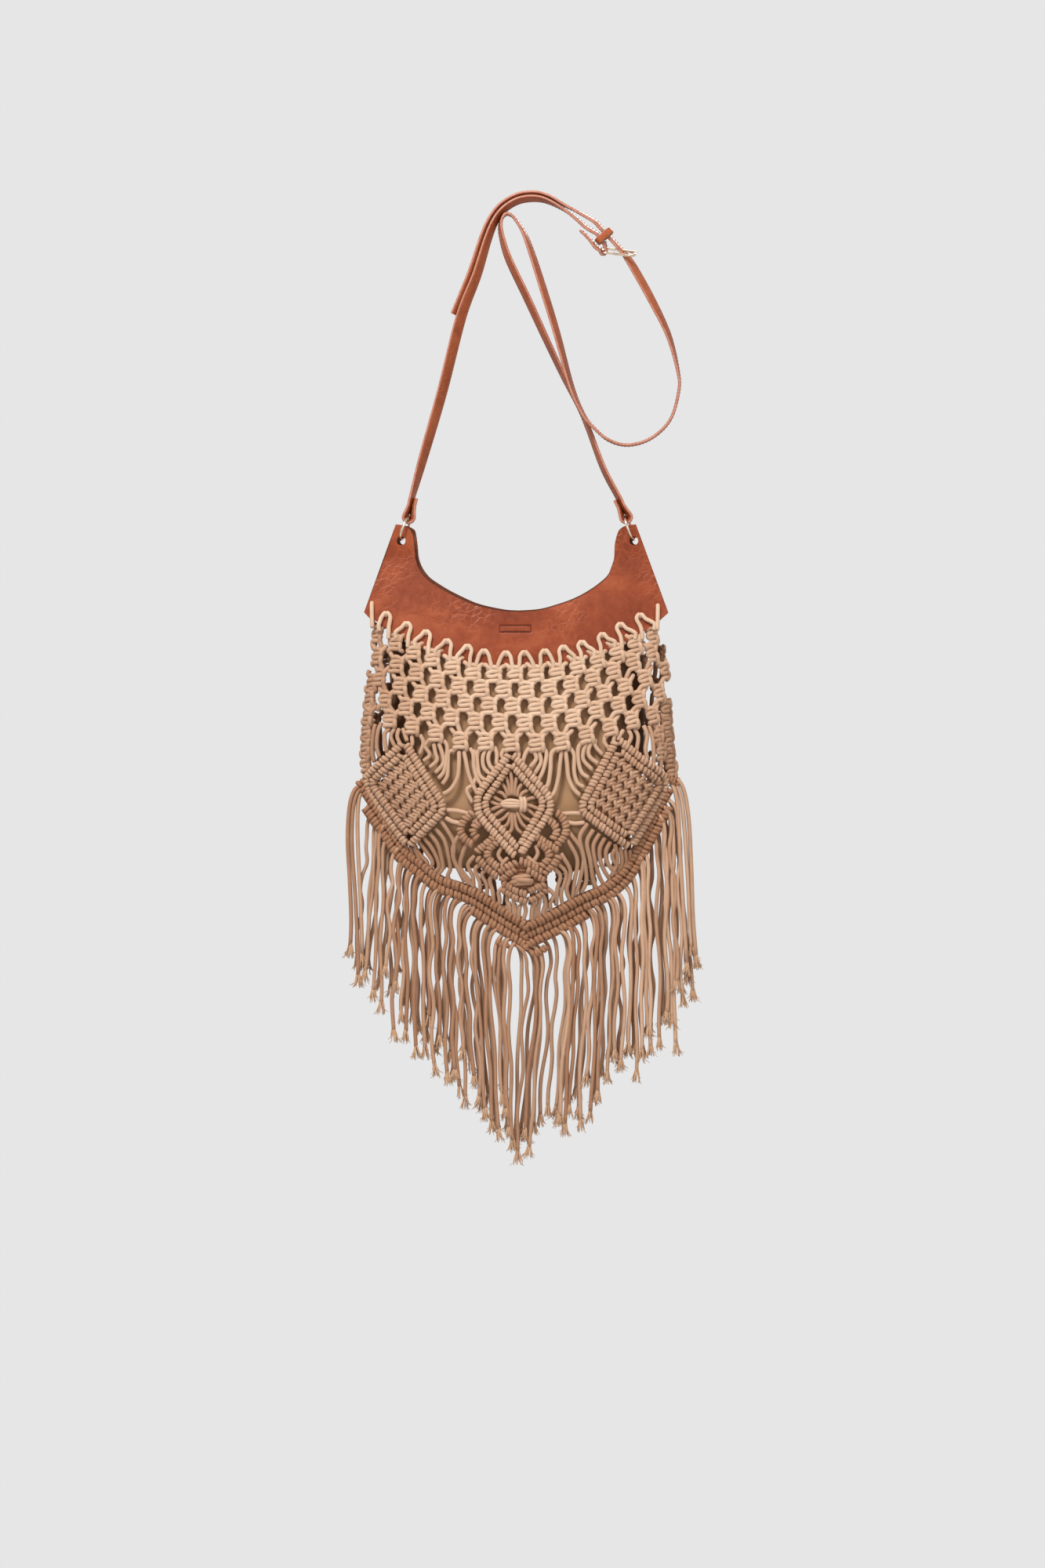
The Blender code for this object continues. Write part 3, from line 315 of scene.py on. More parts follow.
def face_outwards(shape):
    if shape.calc_volume(signed=True) < 0:
        bmesh.ops.reverse_faces(shape, faces=shape.faces[:])


def settle(piece, slot, *nodes):
    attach(piece, "root")
    if nodes:
        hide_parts(*nodes)
    return piece


# Materials

def connect(tree, socket, value):
    """Sets a socket to a constant or a colour, or links it to another node's output."""
    if isinstance(value, (int, float)):
        socket.default_value = value
    elif isinstance(value, tuple):
        socket.default_value = (*value, 1.0)
    else:
        tree.links.new(value, socket)


def new_material(name):
    made = bpy.data.materials.new(name)
    made.use_nodes = True
    return made, made.node_tree


def dress(tree, **sockets):
    """Sets or links the shader's sockets. Their names have _ for a space."""
    for name, value in sockets.items():
        connect(tree, tree.nodes["Principled BSDF"].inputs[name.replace("_", " ")], value)


def new_node(tree, kind, **sockets):
    """A node with its sockets set or linked."""
    node = tree.nodes.new("ShaderNode" + kind)
    for name, value in sockets.items():
        connect(tree, node.inputs[name], value)
    return node


def object_place(tree):
    return new_node(tree, "TexCoord").outputs["Object"]


def ramp(tree, source, stops):
    node = new_node(tree, "ValToRGB", Fac=source)
    while len(node.color_ramp.elements) < len(stops):
        node.color_ramp.elements.new(0.5)
    for element, (at, colour) in zip(node.color_ramp.elements, stops):
        element.position = at
        element.color = (*colour, 1.0)
    return node.outputs["Color"]


def noise(tree, vector, scale, detail=3.0, roughness=0.5, distortion=0.0):
    return new_node(tree, "TexNoise", Vector=vector, Scale=scale, Detail=detail, Roughness=roughness,
                    Distortion=distortion).outputs["Fac"]


def maths(tree, operation, *values):
    node = tree.nodes.new("ShaderNodeMath")
    node.operation = operation
    for socket, value in zip(node.inputs, values):
        connect(tree, socket, value)
    return node.outputs[0]


def mix(tree, share, first, second, blend="MIX"):
    node = tree.nodes.new("ShaderNodeMix")
    node.data_type = "RGBA"
    node.blend_type = blend
    for socket, value in ((0, share), (6, first), (7, second)):
        connect(tree, node.inputs[socket], value)
    return node.outputs[2]


def bump(tree, height, strength, distance):
    return new_node(tree, "Bump", Height=height, Strength=strength, Distance=distance).outputs["Normal"]


def cord_material(name, light, mid, dark):
    """Braided cotton: two crossing sets of yarns, a speckle of lighter fibres, and a tone for each point that
    holds random variation and painted shade.
    """
    made, tree = new_material(name)
    uv = tree.nodes.new("ShaderNodeUVMap")
    uv.uv_map = "cord"
    split = new_node(tree, "SeparateXYZ", Vector=uv.outputs["UV"]).outputs
    u = maths(tree, "MULTIPLY", split[0], 7 * 2 * math.pi)
    v = maths(tree, "MULTIPLY", split[1], 8 * 2 * math.pi)
    rising, falling = (maths(tree, "SINE", maths(tree, way, u, v)) for way in ("ADD", "SUBTRACT"))
    yarn = maths(tree, "MULTIPLY_ADD", maths(tree, "MAXIMUM", rising, falling), 0.5, 0.5)
    fibres = noise(tree, object_place(tree), 2600, 2.0)
    patches = noise(tree, object_place(tree), 60, 2.0)
    tone = tree.nodes.new("ShaderNodeAttribute")
    tone.attribute_name = "tone"
    level = maths(tree, "MULTIPLY_ADD", yarn, 0.26, maths(tree, "MULTIPLY", fibres, 0.34))
    level = maths(tree, "MULTIPLY_ADD", patches, 0.16, level)
    # The tone attribute shifts the ramp: random variation and painted shade together
    level = maths(tree, "ADD", level, maths(tree, "MULTIPLY_ADD", tone.outputs["Fac"], 0.8, -0.40))
    height = maths(tree, "MULTIPLY_ADD", fibres, 0.4, yarn)
    dress(tree, Base_Color=ramp(tree, level, ((0.10, dark), (0.42, mid), (0.80, light))), Roughness=0.85,
          Specular_IOR_Level=0.15, Sheen_Weight=0.05, Sheen_Roughness=0.5,
          Normal=bump(tree, height, 0.55, 0.0003))
    return made


def leather_material(name, light, mid, dark, grain=1.0, roughness=0.42):
    """Smooth cow leather: broad shade, fine creases, pale hairlines and pores."""
    made, tree = new_material(name)
    coordinate = object_place(tree)
    broad = noise(tree, coordinate, 14, 3.0, 0.6, 0.6)
    streaks = noise(tree, coordinate, 90, 5.0, 0.62, 1.6)
    pores = noise(tree, coordinate, 1500, 2.0)
    level = maths(tree, "MULTIPLY_ADD", broad, 0.7, maths(tree, "MULTIPLY", streaks, 0.35))
    colour = ramp(tree, level, ((0.34, dark), (0.52, mid), (0.72, light)))
    drift = new_node(tree, "TexNoise", Vector=coordinate, Scale=45, Detail=3)
    warp = tree.nodes.new("ShaderNodeVectorMath")
    warp.operation = "MULTIPLY_ADD"
    tree.links.new(drift.outputs["Color"], warp.inputs[0])
    warp.inputs[1].default_value = (0.012, 0.012, 0.012)
    tree.links.new(coordinate, warp.inputs[2])
    cells = new_node(tree, "TexVoronoi", Vector=warp.outputs[0], Scale=150)
    cells.feature = "DISTANCE_TO_EDGE"
    crease = maths(tree, "MINIMUM", maths(tree, "MULTIPLY", cells.outputs["Distance"], 7.0), 1.0)
    where = ramp(tree, noise(tree, coordinate, 26, 2.0), ((0.42, (0, 0, 0)), (0.62, (1, 1, 1))))
    lines = maths(tree, "MULTIPLY", maths(tree, "SUBTRACT", 1.0, crease), where)
    height = maths(tree, "MULTIPLY_ADD", lines, -0.8, maths(tree, "MULTIPLY", pores, 0.25))
    height = maths(tree, "MULTIPLY_ADD", streaks, 0.7, height)
    dress(tree, Base_Color=mix(tree, maths(tree, "MULTIPLY", lines, 0.55 * grain), colour, light),
          Roughness=maths(tree, "MULTIPLY_ADD", streaks, 0.22, roughness - 0.11), Specular_IOR_Level=0.22,
          Coat_Weight=0.02, Coat_Roughness=0.35, Normal=bump(tree, height, 0.6 * grain, 0.0006))
    return made


def plain_material(name, light, dark, scale, roughness):
    made, tree = new_material(name)
    coordinate = object_place(tree)
    level = noise(tree, coordinate, scale, 4.0, 0.6)
    dress(tree, Base_Color=ramp(tree, level, ((0.35, dark), (0.65, light))), Roughness=roughness,
          Normal=bump(tree, noise(tree, coordinate, scale * 6), 0.2, 0.0003))
    return made


def cloth_material(name, light, dark):
    """Plain weave, about 2.6 threads to a millimetre each way, unevenly toned, with painted shadow darkening
    it towards the sides.
    """
    made, tree = new_material(name)
    coordinate = object_place(tree)
    split = new_node(tree, "SeparateXYZ", Vector=coordinate).outputs
    warp, weft = (maths(tree, "SINE", maths(tree, "MULTIPLY", split[k], 2600 * math.pi)) for k in (0, 2))
    weave = maths(tree, "MULTIPLY", warp, weft)
    level = maths(tree, "MULTIPLY_ADD", weave, 0.06, noise(tree, coordinate, 35))
    # Painted shadow: the lining turns dark brown towards its sides, where the net shades it
    away = maths(tree, "ABSOLUTE", maths(tree, "SUBTRACT", split[0], BODY_SHIFT))
    edge = ramp(tree, maths(tree, "MULTIPLY", away, 5.0), ((0.38, (1, 1, 1)), (0.52, (0.25, 0.19, 0.15))))
    colour = mix(tree, 1.0, ramp(tree, level, ((0.3, dark), (0.7, light))), edge, "MULTIPLY")
    dress(tree, Base_Color=colour, Roughness=0.8, Specular_IOR_Level=0.2, Sheen_Weight=0.03,
          Normal=bump(tree, weave, 0.25, 0.0002))
    return made


def metal_material(name):
    made, tree = new_material(name)
    coordinate = object_place(tree)
    colour = ramp(tree, noise(tree, coordinate, 180), ((0.3, (0.72, 0.56, 0.40)), (0.7, (0.90, 0.78, 0.62))))
    dress(tree, Base_Color=colour, Metallic=1.0,
          Roughness=maths(tree, "MULTIPLY_ADD", noise(tree, coordinate, 900, 2.0), 0.2, 0.10))
    return made


cord_front = cord_material("cord_front", (0.830, 0.660, 0.500), (0.620, 0.405, 0.270), (0.310, 0.145, 0.075))
# The back's cords use the same cotton made darker: painted shade for cords seen in shadow behind the front
cord_back_painted_shade = cord_material("cord_back_painted_shade", (0.730, 0.545, 0.395), (0.520, 0.325, 0.210), (0.240, 0.110, 0.057))
fray = plain_material("frayed_ends", (0.640, 0.410, 0.250), (0.430, 0.235, 0.130), 900, 0.9)
leather = leather_material("leather", (0.360, 0.084, 0.029), (0.240, 0.044, 0.0125), (0.160, 0.026, 0.007))
strap_leather = leather_material("strap_leather", (0.420, 0.115, 0.042), (0.320, 0.074, 0.023),
                                 (0.190, 0.037, 0.012), 0.6)
flesh_side = leather_material("flesh_side", (0.235, 0.078, 0.038), (0.170, 0.052, 0.026),
                              (0.105, 0.032, 0.017), 0.8, 0.75)
cut_edge = plain_material("cut_edge", (0.470, 0.205, 0.140), (0.380, 0.145, 0.092), 260, 0.55)
thread = plain_material("thread", (0.400, 0.150, 0.085), (0.300, 0.100, 0.055), 700, 0.6)
dark_thread = plain_material("dark_thread", (0.130, 0.022, 0.008), (0.070, 0.012, 0.005), 700, 0.6)
cloth = cloth_material("cloth", (0.430, 0.250, 0.132), (0.345, 0.190, 0.095))
metal = metal_material("metal")


# Leather yokes

YOKE_MOUTH = (
    (505, 669), (512, 670), (519, 672), (524.5, 678), (527, 686), (529, 701), (530, 713), (533, 723),
    (538, 732), (545, 740), (555, 747), (570, 756), (588, 765), (603, 771.5), (619, 776), (640, 780),
    (653, 781), (665, 781), (689, 779), (711, 773), (727, 767.5), (741, 761), (756, 752), (769, 742),
    (775, 735.5), (778, 729), (783, 713), (784, 695), (787, 683), (791, 676.5), (798, 671), (811, 669))
YOKE_CORNERS = (852, 782), (842, 791), (471, 788), (465, 781.5)
LACE_TOPS = (
    (475, 769), (493.5, 783), (519.5, 796), (544, 806.5), (570.5, 818), (596.5, 825), (617.5, 831),
    (645.5, 833.5), (669, 833), (695, 831), (718.5, 826), (742, 820), (768, 810), (791, 797), (816, 785),
    (838.5, 772))
SLOT_MIDDLE = chart(657.5, 802.5)
SLOT_SIZE = (0.0136, 0.0026)
GRID = 0.004                # spacing of the points inside the leather, so that it bends smoothly


def arc_z(x):
    """The curved lower edge."""
    sag = YOKE_HEIGHT - CORNER_DROP
    radius = (ARC_HALF_CHORD ** 2 + sag ** 2) / (2 * sag)
    return YOKE_TOP - YOKE_HEIGHT + radius - math.sqrt(radius ** 2 - (x - BODY_SHIFT) ** 2)


def yoke_outline(right, up):
    """The yoke's edge. The back one's mouth sits a little to the right and higher."""
    mouth = smooth(YOKE_MOUTH, 4)
    fade = np.clip((mouth[:, 1] - CHART_TOP) / 10, 0, 1)
    side = np.where(mouth[:, 0] < NET_MIDDLE, 1.0, 0.2)
    x, z = chart(mouth[:, 0] + right * fade * side, mouth[:, 1] - up * fade)
    corners = [tuple(float(v) for v in chart(*corner)) for corner in YOKE_CORNERS]
    start, end = corners[1][0], corners[2][0]
    arc = [start + (end - start) * i / 60 for i in range(1, 60)]
    return list(zip(x.tolist(), z.tolist())) + corners[:2] + [(at, arc_z(at)) for at in arc] + corners[2:]


def inside(point, loop):
    x, z = point
    hit = False
    for (ax, az), (bx, bz) in zip(loop, loop[1:] + loop[:1]):
        if (az > z) != (bz > z) and x < ax + (z - az) * (bx - ax) / (bz - az):
            hit = not hit
    return hit


def circle(x, z, radius, sides):
    turns = [2 * math.pi * i / sides for i in range(sides)]
    return [(x + radius * math.cos(turn), z + radius * math.sin(turn)) for turn in turns]


def slot_lift(x, z):
    """The stitched slot on the front: a low welt with a groove round it."""
    away = [abs(at - middle) for at, middle in zip((x, z), SLOT_MIDDLE)]
    near = max(a / size for a, size in zip(away, SLOT_SIZE))
    if near < 1:
        return 0.0006 * (1 - near ** 4)
    out = math.hypot(*(max(a - size, 0.0) for a, size in zip(away, SLOT_SIZE)))
    return -0.0008 * math.exp(-(out / 0.0009) ** 2)


def leather_plate(name, facing):
    back = facing > 0
    outline = yoke_outline(4.0, 3.2) if back else yoke_outline(0.0, 0.0)
    aside = 0.0022 if back else 0.0
    radius = RING_HOLE_RADIUS - 0.4 * aside
    holes = [circle(BODY_SHIFT + side * RING_HOLE_OFFSET + aside, RING_HOLE_Z, radius, 24)
             for side in (-1, 1)]
    holes += [circle(*chart(x, y + 2.0), 0.0021, 10) for x, y in LACE_TOPS]
    points, edges = [], []
    for loop in [outline] + holes:
        start = len(points)
        points += [Vector(p) for p in loop]
        edges += [(start + i, start + (i + 1) % len(loop)) for i in range(len(loop))]
    grid = [(BODY_SHIFT - 0.14 + GRID * (i + 0.5 * (j % 2)), YOKE_TOP - GRID * (j + 0.5))
            for i in range(int(0.28 / GRID)) for j in range(int(YOKE_HEIGHT / GRID))]
    points += [Vector(p) for p in grid if inside(p, outline)]
    if not back:
        points += [Vector((SLOT_MIDDLE[0] + (i / 28 - 1) * 0.0155, SLOT_MIDDLE[1] + (j / 8 - 1) * 0.0044))
                   for i in range(57) for j in range(17)]
    flat, _, faces, *_ = delaunay_2d_cdt(points, edges, [], 0, 1e-7)
    kept = []
    for face in faces:
        middle = [sum(flat[i][k] for i in face) / len(face) for k in (0, 1)]
        if inside(middle, outline) and not any(inside(middle, loop) for loop in holes):
            kept.append(face)
    shape = bmesh.new()
    low, high = {}, {}
    half = YOKE_WALL / 2
    for i in sorted({i for face in kept for i in face}):
        x, z = (np.float64(v) for v in flat[i])
        low[i] = shape.verts.new(on_skin(YOKE, x, z, -half, facing))
        high[i] = shape.verts.new(on_skin(YOKE, x, z, half + (0.0 if back else slot_lift(x, z)), facing))
    sides = set()
    for face in kept:
        if back:
            face = face[::-1]
        shape.faces.new([high[i] for i in face])
        shape.faces.new([low[i] for i in reversed(face)]).material_index = 1
        sides.update(zip(face, face[1:] + face[:1]))
    for a, b in sorted(sides):
        if (b, a) not in sides:
            shape.faces.new([low[a], low[b], high[b], high[a]]).material_index = 2
    made = place_shape(name, shape, 40, leather, flesh_side, cut_edge)
    edge = made.modifiers.new("edge", "BEVEL")
    edge.width = 0.0004
    edge.segments = 2
    edge.limit_method = "ANGLE"
    edge.angle_limit = math.radians(50)
    return made


def slot_stitches(count=13):
    cords = Cords()
    half = 0.36 * SLOT_SIZE[0] * 2 / count
    for edge in (-1, 1):
        z = SLOT_MIDDLE[1] + edge * (SLOT_SIZE[1] + 0.0002)
        for i in range(count):
            x = SLOT_MIDDLE[0] + SLOT_SIZE[0] * ((i + 0.5) / count * 2 - 1)
            line = [(x + share * half, lift)
                    for share, lift in ((-1, 0.0004), (-0.5, 0.0011), (0.5, 0.0011), (1, 0.0004))]
            cords.tube([on_skin(YOKE, a, z, lift, -1) for a, lift in line], 0.00042, 6)
    return cords


settle(leather_plate("yoke_front_leather", -1), "leather", "yoke_front")
settle(leather_plate("yoke_back_leather", 1), "leather", "yoke_back")
settle(slot_stitches().build("slot_stitches", dark_thread), "leather")


# Lacing

LACE_FEET = (
    (480, 801), (501, 811), (525.5, 822), (551.5, 834), (579, 842), (604, 850), (631, 853), (658, 854),
    (685, 853), (710, 850), (737, 842), (762, 835), (788, 823), (814, 812), (838, 800))


def lacing(name, facing, finish):
    cords = Cords()
    for i, (x, y) in enumerate(LACE_TOPS):
        for side, foot in ((-1, i - 1), (1, i)):
            if not 0 <= foot < len(LACE_FEET):
                continue
            fx, fy = LACE_FEET[foot]
            fx -= side * 4.2
            start = x + side * 0.4
            line = [(start, y + 3.5, -1.5), (start, y + 2.0, 1.4), (start + side * 1.4, y - 0.6, 3.0),
                    (x + side * 5.0 + 0.1 * (fx - x), y + 5.0, 3.3),
                    (x + 0.72 * (fx - x) + side * 1.2, y + 0.58 * (fy - y), 3.2), (fx, fy - 3.0, 3.0),
                    (fx - side * 0.5, fy + 4.0, 1.6)]
            if i in (0, len(LACE_TOPS) - 1):
                line = [(x, y + 1.0, -1.5), (x, y + 1.0, 1.6), (x + 0.3 * side, y + 6.0, 3.2),
                        (x + 0.6 * side, y + 18.0, 3.2), (x + side, y + 32.0, 2.4)]
            line = lay(smooth(line, 5), YOKE, facing)
            cords.tube(line, CORD_RADIUS * UNIT * 0.98, tone=rng.uniform(0.5, 0.62))
    settle(cords.build(name + "_cord", finish), "cord", name)


lacing("lacing_front", -1, cord_front)
lacing("lacing_back", 1, cord_back_painted_shade)


# Square knots. Each part of a knot is drawn round its middle: right, down, lift

KNOT_PARTS = {
    "left_in": ((-13.5, -16.0, 0.8), (-10.8, -12.0, 2.6), (-7.0, -8.6, 3.0), (-3, -5.5, 1.2)),
    "top_bar": ((-7.5, -4.5, 0.6), (-7.0, -8.2, 2.6), (-2.0, -9.6, 4.0), (3.6, -8.4, 4.0), (7.6, -5.6, 1.6)),
    "right_top": ((14.5, -14.5, 0.8), (10.8, -10.6, 2.6), (7.6, -7.6, 4.2), (7.6, -3.2, 4.0),
            (5.0, -0.2, 1.2)),
    "bars": ((8.0, -3.4, 1.0), (4.6, -4.2, 3.6), (-1.6, -3.4, 4.3), (-6.6, -2.2, 3.8), (-8.4, 0.6, 3.0),
            (-6.4, 2.8, 3.6), (-1.2, 2.4, 4.3), (4.4, 1.4, 3.6), (8.0, 4.4, 1.0)),
    "right_foot": ((4.0, -1.4, 1.0), (7.4, 0.6, 3.8), (8.2, 4.2, 4.4), (8.6, 8.2, 3.4)),
    "foot_bar": ((6.6, 6.0, 1.0), (4.0, 7.8, 3.6), (-1.6, 8.2, 4.1), (-7.0, 9.2, 3.2)),
}
# Which foot each part ends at, and its way right and down where loose strands take over
LEGS = {"foot_bar": (0, 1.5, 2), "right_foot": (1, -1.5, 3)}
KNOT_WANDER = 0.22


def knot(cords, x, y, feet, facing=-1, wide=1.0, lean=0.0, base=0.0, first=False, tone=0.5):
    """One knot. feet are the chart ends of its left and right leg, or None where loose strands take over."""
    c, s = math.cos(lean), math.sin(lean)
    for name, part in KNOT_PARTS.items():
        line = [(wide * a, b, lift + base) for a, b, lift in part]
        if first and name in ("left_in", "right_top"):
            a, b, lift = line[0]
            line[0] = (0.93 * a, 0.72 * b, lift)
        line = [(x + c * a - s * b, y + s * a + c * b, lift) for a, b, lift in line]
        if name in LEGS:
            foot, right, down = LEGS[name]
            a, b, _ = line[-1]
            if feet:
                fx, fy = feet[foot]
                line += [(0.45 * a + 0.55 * fx, 0.45 * b + 0.55 * fy, 2.6 + base), (fx, fy, 0.8 + base)]
            else:
                line.append((a + right, b + down, 0.4 + base))
        line = np.array(line)
        line[:, :2] += rng.normal(0, KNOT_WANDER, (len(line), 2))
        cords.tube(lay(smooth(line, 3), BODY, facing), KNOT_RADIUS * UNIT * rng.uniform(0.95, 1.03),
                   tone=tone + rng.uniform(-0.05, 0.05), inward=-facing)


KNOT_ROWS = (
    # middle, spacing, start, and the row's line
    (657, 26.8, 0.0, ((470, 802), (481, 808), (500, 817.5), (524, 829), (550, 839), (578, 850), (603, 858),
    (630, 861), (657, 861), (684, 860), (712, 858), (739, 849), (763, 842), (790, 830), (815, 819),
    (838, 807), (850, 800))), (657, 28.8, 0.5, ((460, 828), (486, 838), (505, 847), (531, 858), (558, 867),
    (587, 876), (614, 879), (642, 880), (671, 881), (698, 879), (727, 874), (754, 866), (782, 856),
    (807, 845), (830, 834), (850, 828))), (654, 30.0, 0.0, ((465, 858), (493, 866), (512, 876), (538, 886),
    (567, 892), (595, 898), (625, 901), (654, 902), (685, 902.5), (715, 899), (743, 893), (773, 885),
    (797, 877), (821, 866), (843, 856))), (653.5, 31.2, 0.5, ((469, 884), (493, 892), (519, 902),
    (545, 908), (578, 916), (607, 921), (638, 922), (669, 923), (701, 923), (730, 917), (758, 907),
    (785, 901), (810, 894), (837, 884.5))), (652, 32.5, 0.0, ((460, 908), (473, 914), (506, 918),
    (529, 927), (557, 936), (590, 946), (622, 946), (651.5, 948), (684, 948), (718, 946), (749, 937),
    (777.5, 928), (799, 920), (827.5, 914), (845, 906))))
ROUND = 270                 # the knots' spacing shrinks to the sides as on a drum of this radius


def row_places(row, reach):
    middle, spacing, start, line = row
    line = np.array(line)
    places = []
    for i in range(-9, 10):
        turn = (i + start) * spacing / ROUND
        if abs(turn) > 0.5 * math.pi:
            continue
        x = middle + ROUND * math.sin(turn)
        y = float(look_up(line, x))
        edge = float(body_limit((CHART_Y - y) * UNIT)) / UNIT - abs(x - MIDDLE)
        if edge > reach:
            places.append((x, y, math.cos(turn) * min(1.0, 0.45 + edge / 45)))
    return places


def net_knots(cords, facing, rows, reach, leg, shade, lean=0.0, border=None):
    """Rows of knots. leg: a foot's way in, its height over the next knot, and its way down without one."""
    placed = [row_places(row, reach) for row in rows] + [[]]
    inward, above, drop = leg
    for r, row in enumerate(rows):
        for x, y, squash in placed[r]:
            if border is not None and y > look_up(border, x) - 12:
                continue
            feet = []
            for side in (-1, 1):
                tx = x + side * 0.5 * row[1] * squash
                near = min(placed[r + 1], key=lambda p: abs(p[0] - tx), default=(math.inf, 0))
                ty = (near[1] if abs(near[0] - tx) < 9 else y + drop) - above
                if border is not None:
                    ty = min(ty, float(look_up(border, tx)) + 4)
                feet.append((tx - side * inward * squash, ty))
            if border is None and not placed[r + 1]:
                feet = None
            knot(cords, x, y, feet, facing=facing, wide=squash, lean=-lean * (x - NET_MIDDLE) / CHART_HALF,
                 first=r == 0, tone=shade(x, y))


# Painted shade: the front net's tone falls off towards the sides, more on the left, and towards the bottom,
# where less light reaches
def front_painted_shade(x, y):
    side = min(1.0, abs(x - NET_MIDDLE) / CHART_HALF)
    low = min(1.0, max(0.0, (y - 920) / 160))
    return 0.54 - (0.38 if x < NET_MIDDLE else 0.24) * side ** 2 - 0.26 * low


SIDE_KNOTS = (
    (477, 871), (474, 891), (472, 911), (470, 932), (469, 953), (468, 974), (847, 905), (848, 926),
    (850, 947), (852, 968), (855, 986), (838, 936), (841, 958))
net = Cords()
net_knots(net, -1, KNOT_ROWS, 3, (2.6, 8.0, 20), front_painted_shade, math.radians(10))
# The side knots get a low tone: painted shade where the net turns away at the sides
for x, y in SIDE_KNOTS:
    knot(net, x, y, [(x - 3, y + 12), (x + 3, y + 12)], wide=0.5, base=-1.4, tone=0.20)


# Loose strands between the last knots and the diamonds, and from the diamonds to the border

STRANDS = (
    ((604, 957), (609, 968), (609, 985), (604, 1000), (596, 1008), (603, 1024)),
    ((581, 957), (573, 960), (572, 975), (571, 990), (565, 1000)),
    ((586, 958), (586, 975), (584, 992), (576, 1006), (566, 1013)),
    ((592, 958), (595, 972), (599, 990), (606, 1006), (612, 1016)),
    ((600, 955), (604, 962), (605, 978), (609, 993), (617, 1004)),
    ((566, 944), (571, 952), (570, 968), (567, 984), (560, 993)),
    ((560, 948), (565, 962), (566, 974), (556, 986)), ((554, 948), (556, 960), (558, 970), (549, 979)),
    ((548, 944), (543, 952), (549, 963), (541, 971)), ((537, 938), (541, 948), (536, 962)),
    ((526, 938), (527, 948), (525, 952)), ((613, 955), (609, 962), (610, 978), (613, 990), (622, 997)),
    ((619, 957), (616, 968), (618, 980), (628, 990)), ((625, 957), (623, 968), (626, 978), (634, 984)),
    ((631, 953), (634, 962), (634, 974), (640, 978)), ((643, 956), (640, 963), (643, 970)),
    ((660, 956), (662, 963), (659, 970)), ((675, 954), (670, 962), (667, 972)),
    ((681, 958), (684, 968), (676, 979)), ((687, 958), (690, 972), (682, 987)),
    ((694, 954), (697, 963), (693, 982), (687, 995)),
    ((709, 955), (703, 962), (702, 982), (699, 1000), (694, 1006)),
    ((716, 958), (714, 975), (712, 992), (707, 1010), (700, 1018)),
    ((721, 958), (723, 974), (725, 992), (731, 1006), (739, 1014)),
    ((727, 954), (732, 964), (732, 984), (736, 998), (744, 1004)),
    ((742, 946), (737, 956), (738, 974), (742, 986), (750, 992)),
    ((748, 948), (744, 958), (744, 970), (755, 982)), ((753, 948), (750, 958), (752, 966), (762, 974)),
    ((759, 944), (759, 952), (768, 963)), ((772, 937), (770, 946), (775, 954)),
    ((783, 938), (782, 944), (783, 948)), ((515, 930), (518, 938), (520, 945)),
    ((510, 930), (508, 940), (512, 950)), ((504, 930), (500, 940), (505, 953)),
    ((498, 929), (492, 938), (495, 960)), ((488, 922), (484, 934), (483, 952), (486, 966)),
    ((480, 924), (478, 940), (477, 958), (479, 972)), ((472, 924), (472, 942), (472, 962), (473, 980)),
    ((794, 932), (790, 938), (788, 944)), ((801, 932), (804, 940), (800, 950)),
    ((808, 930), (813, 940), (811, 958)), ((820, 926), (824, 938), (822, 955), (824, 968)),
    ((827, 926), (831, 942), (832, 958), (832, 975)), ((835, 924), (838, 940), (840, 962), (841, 982)))
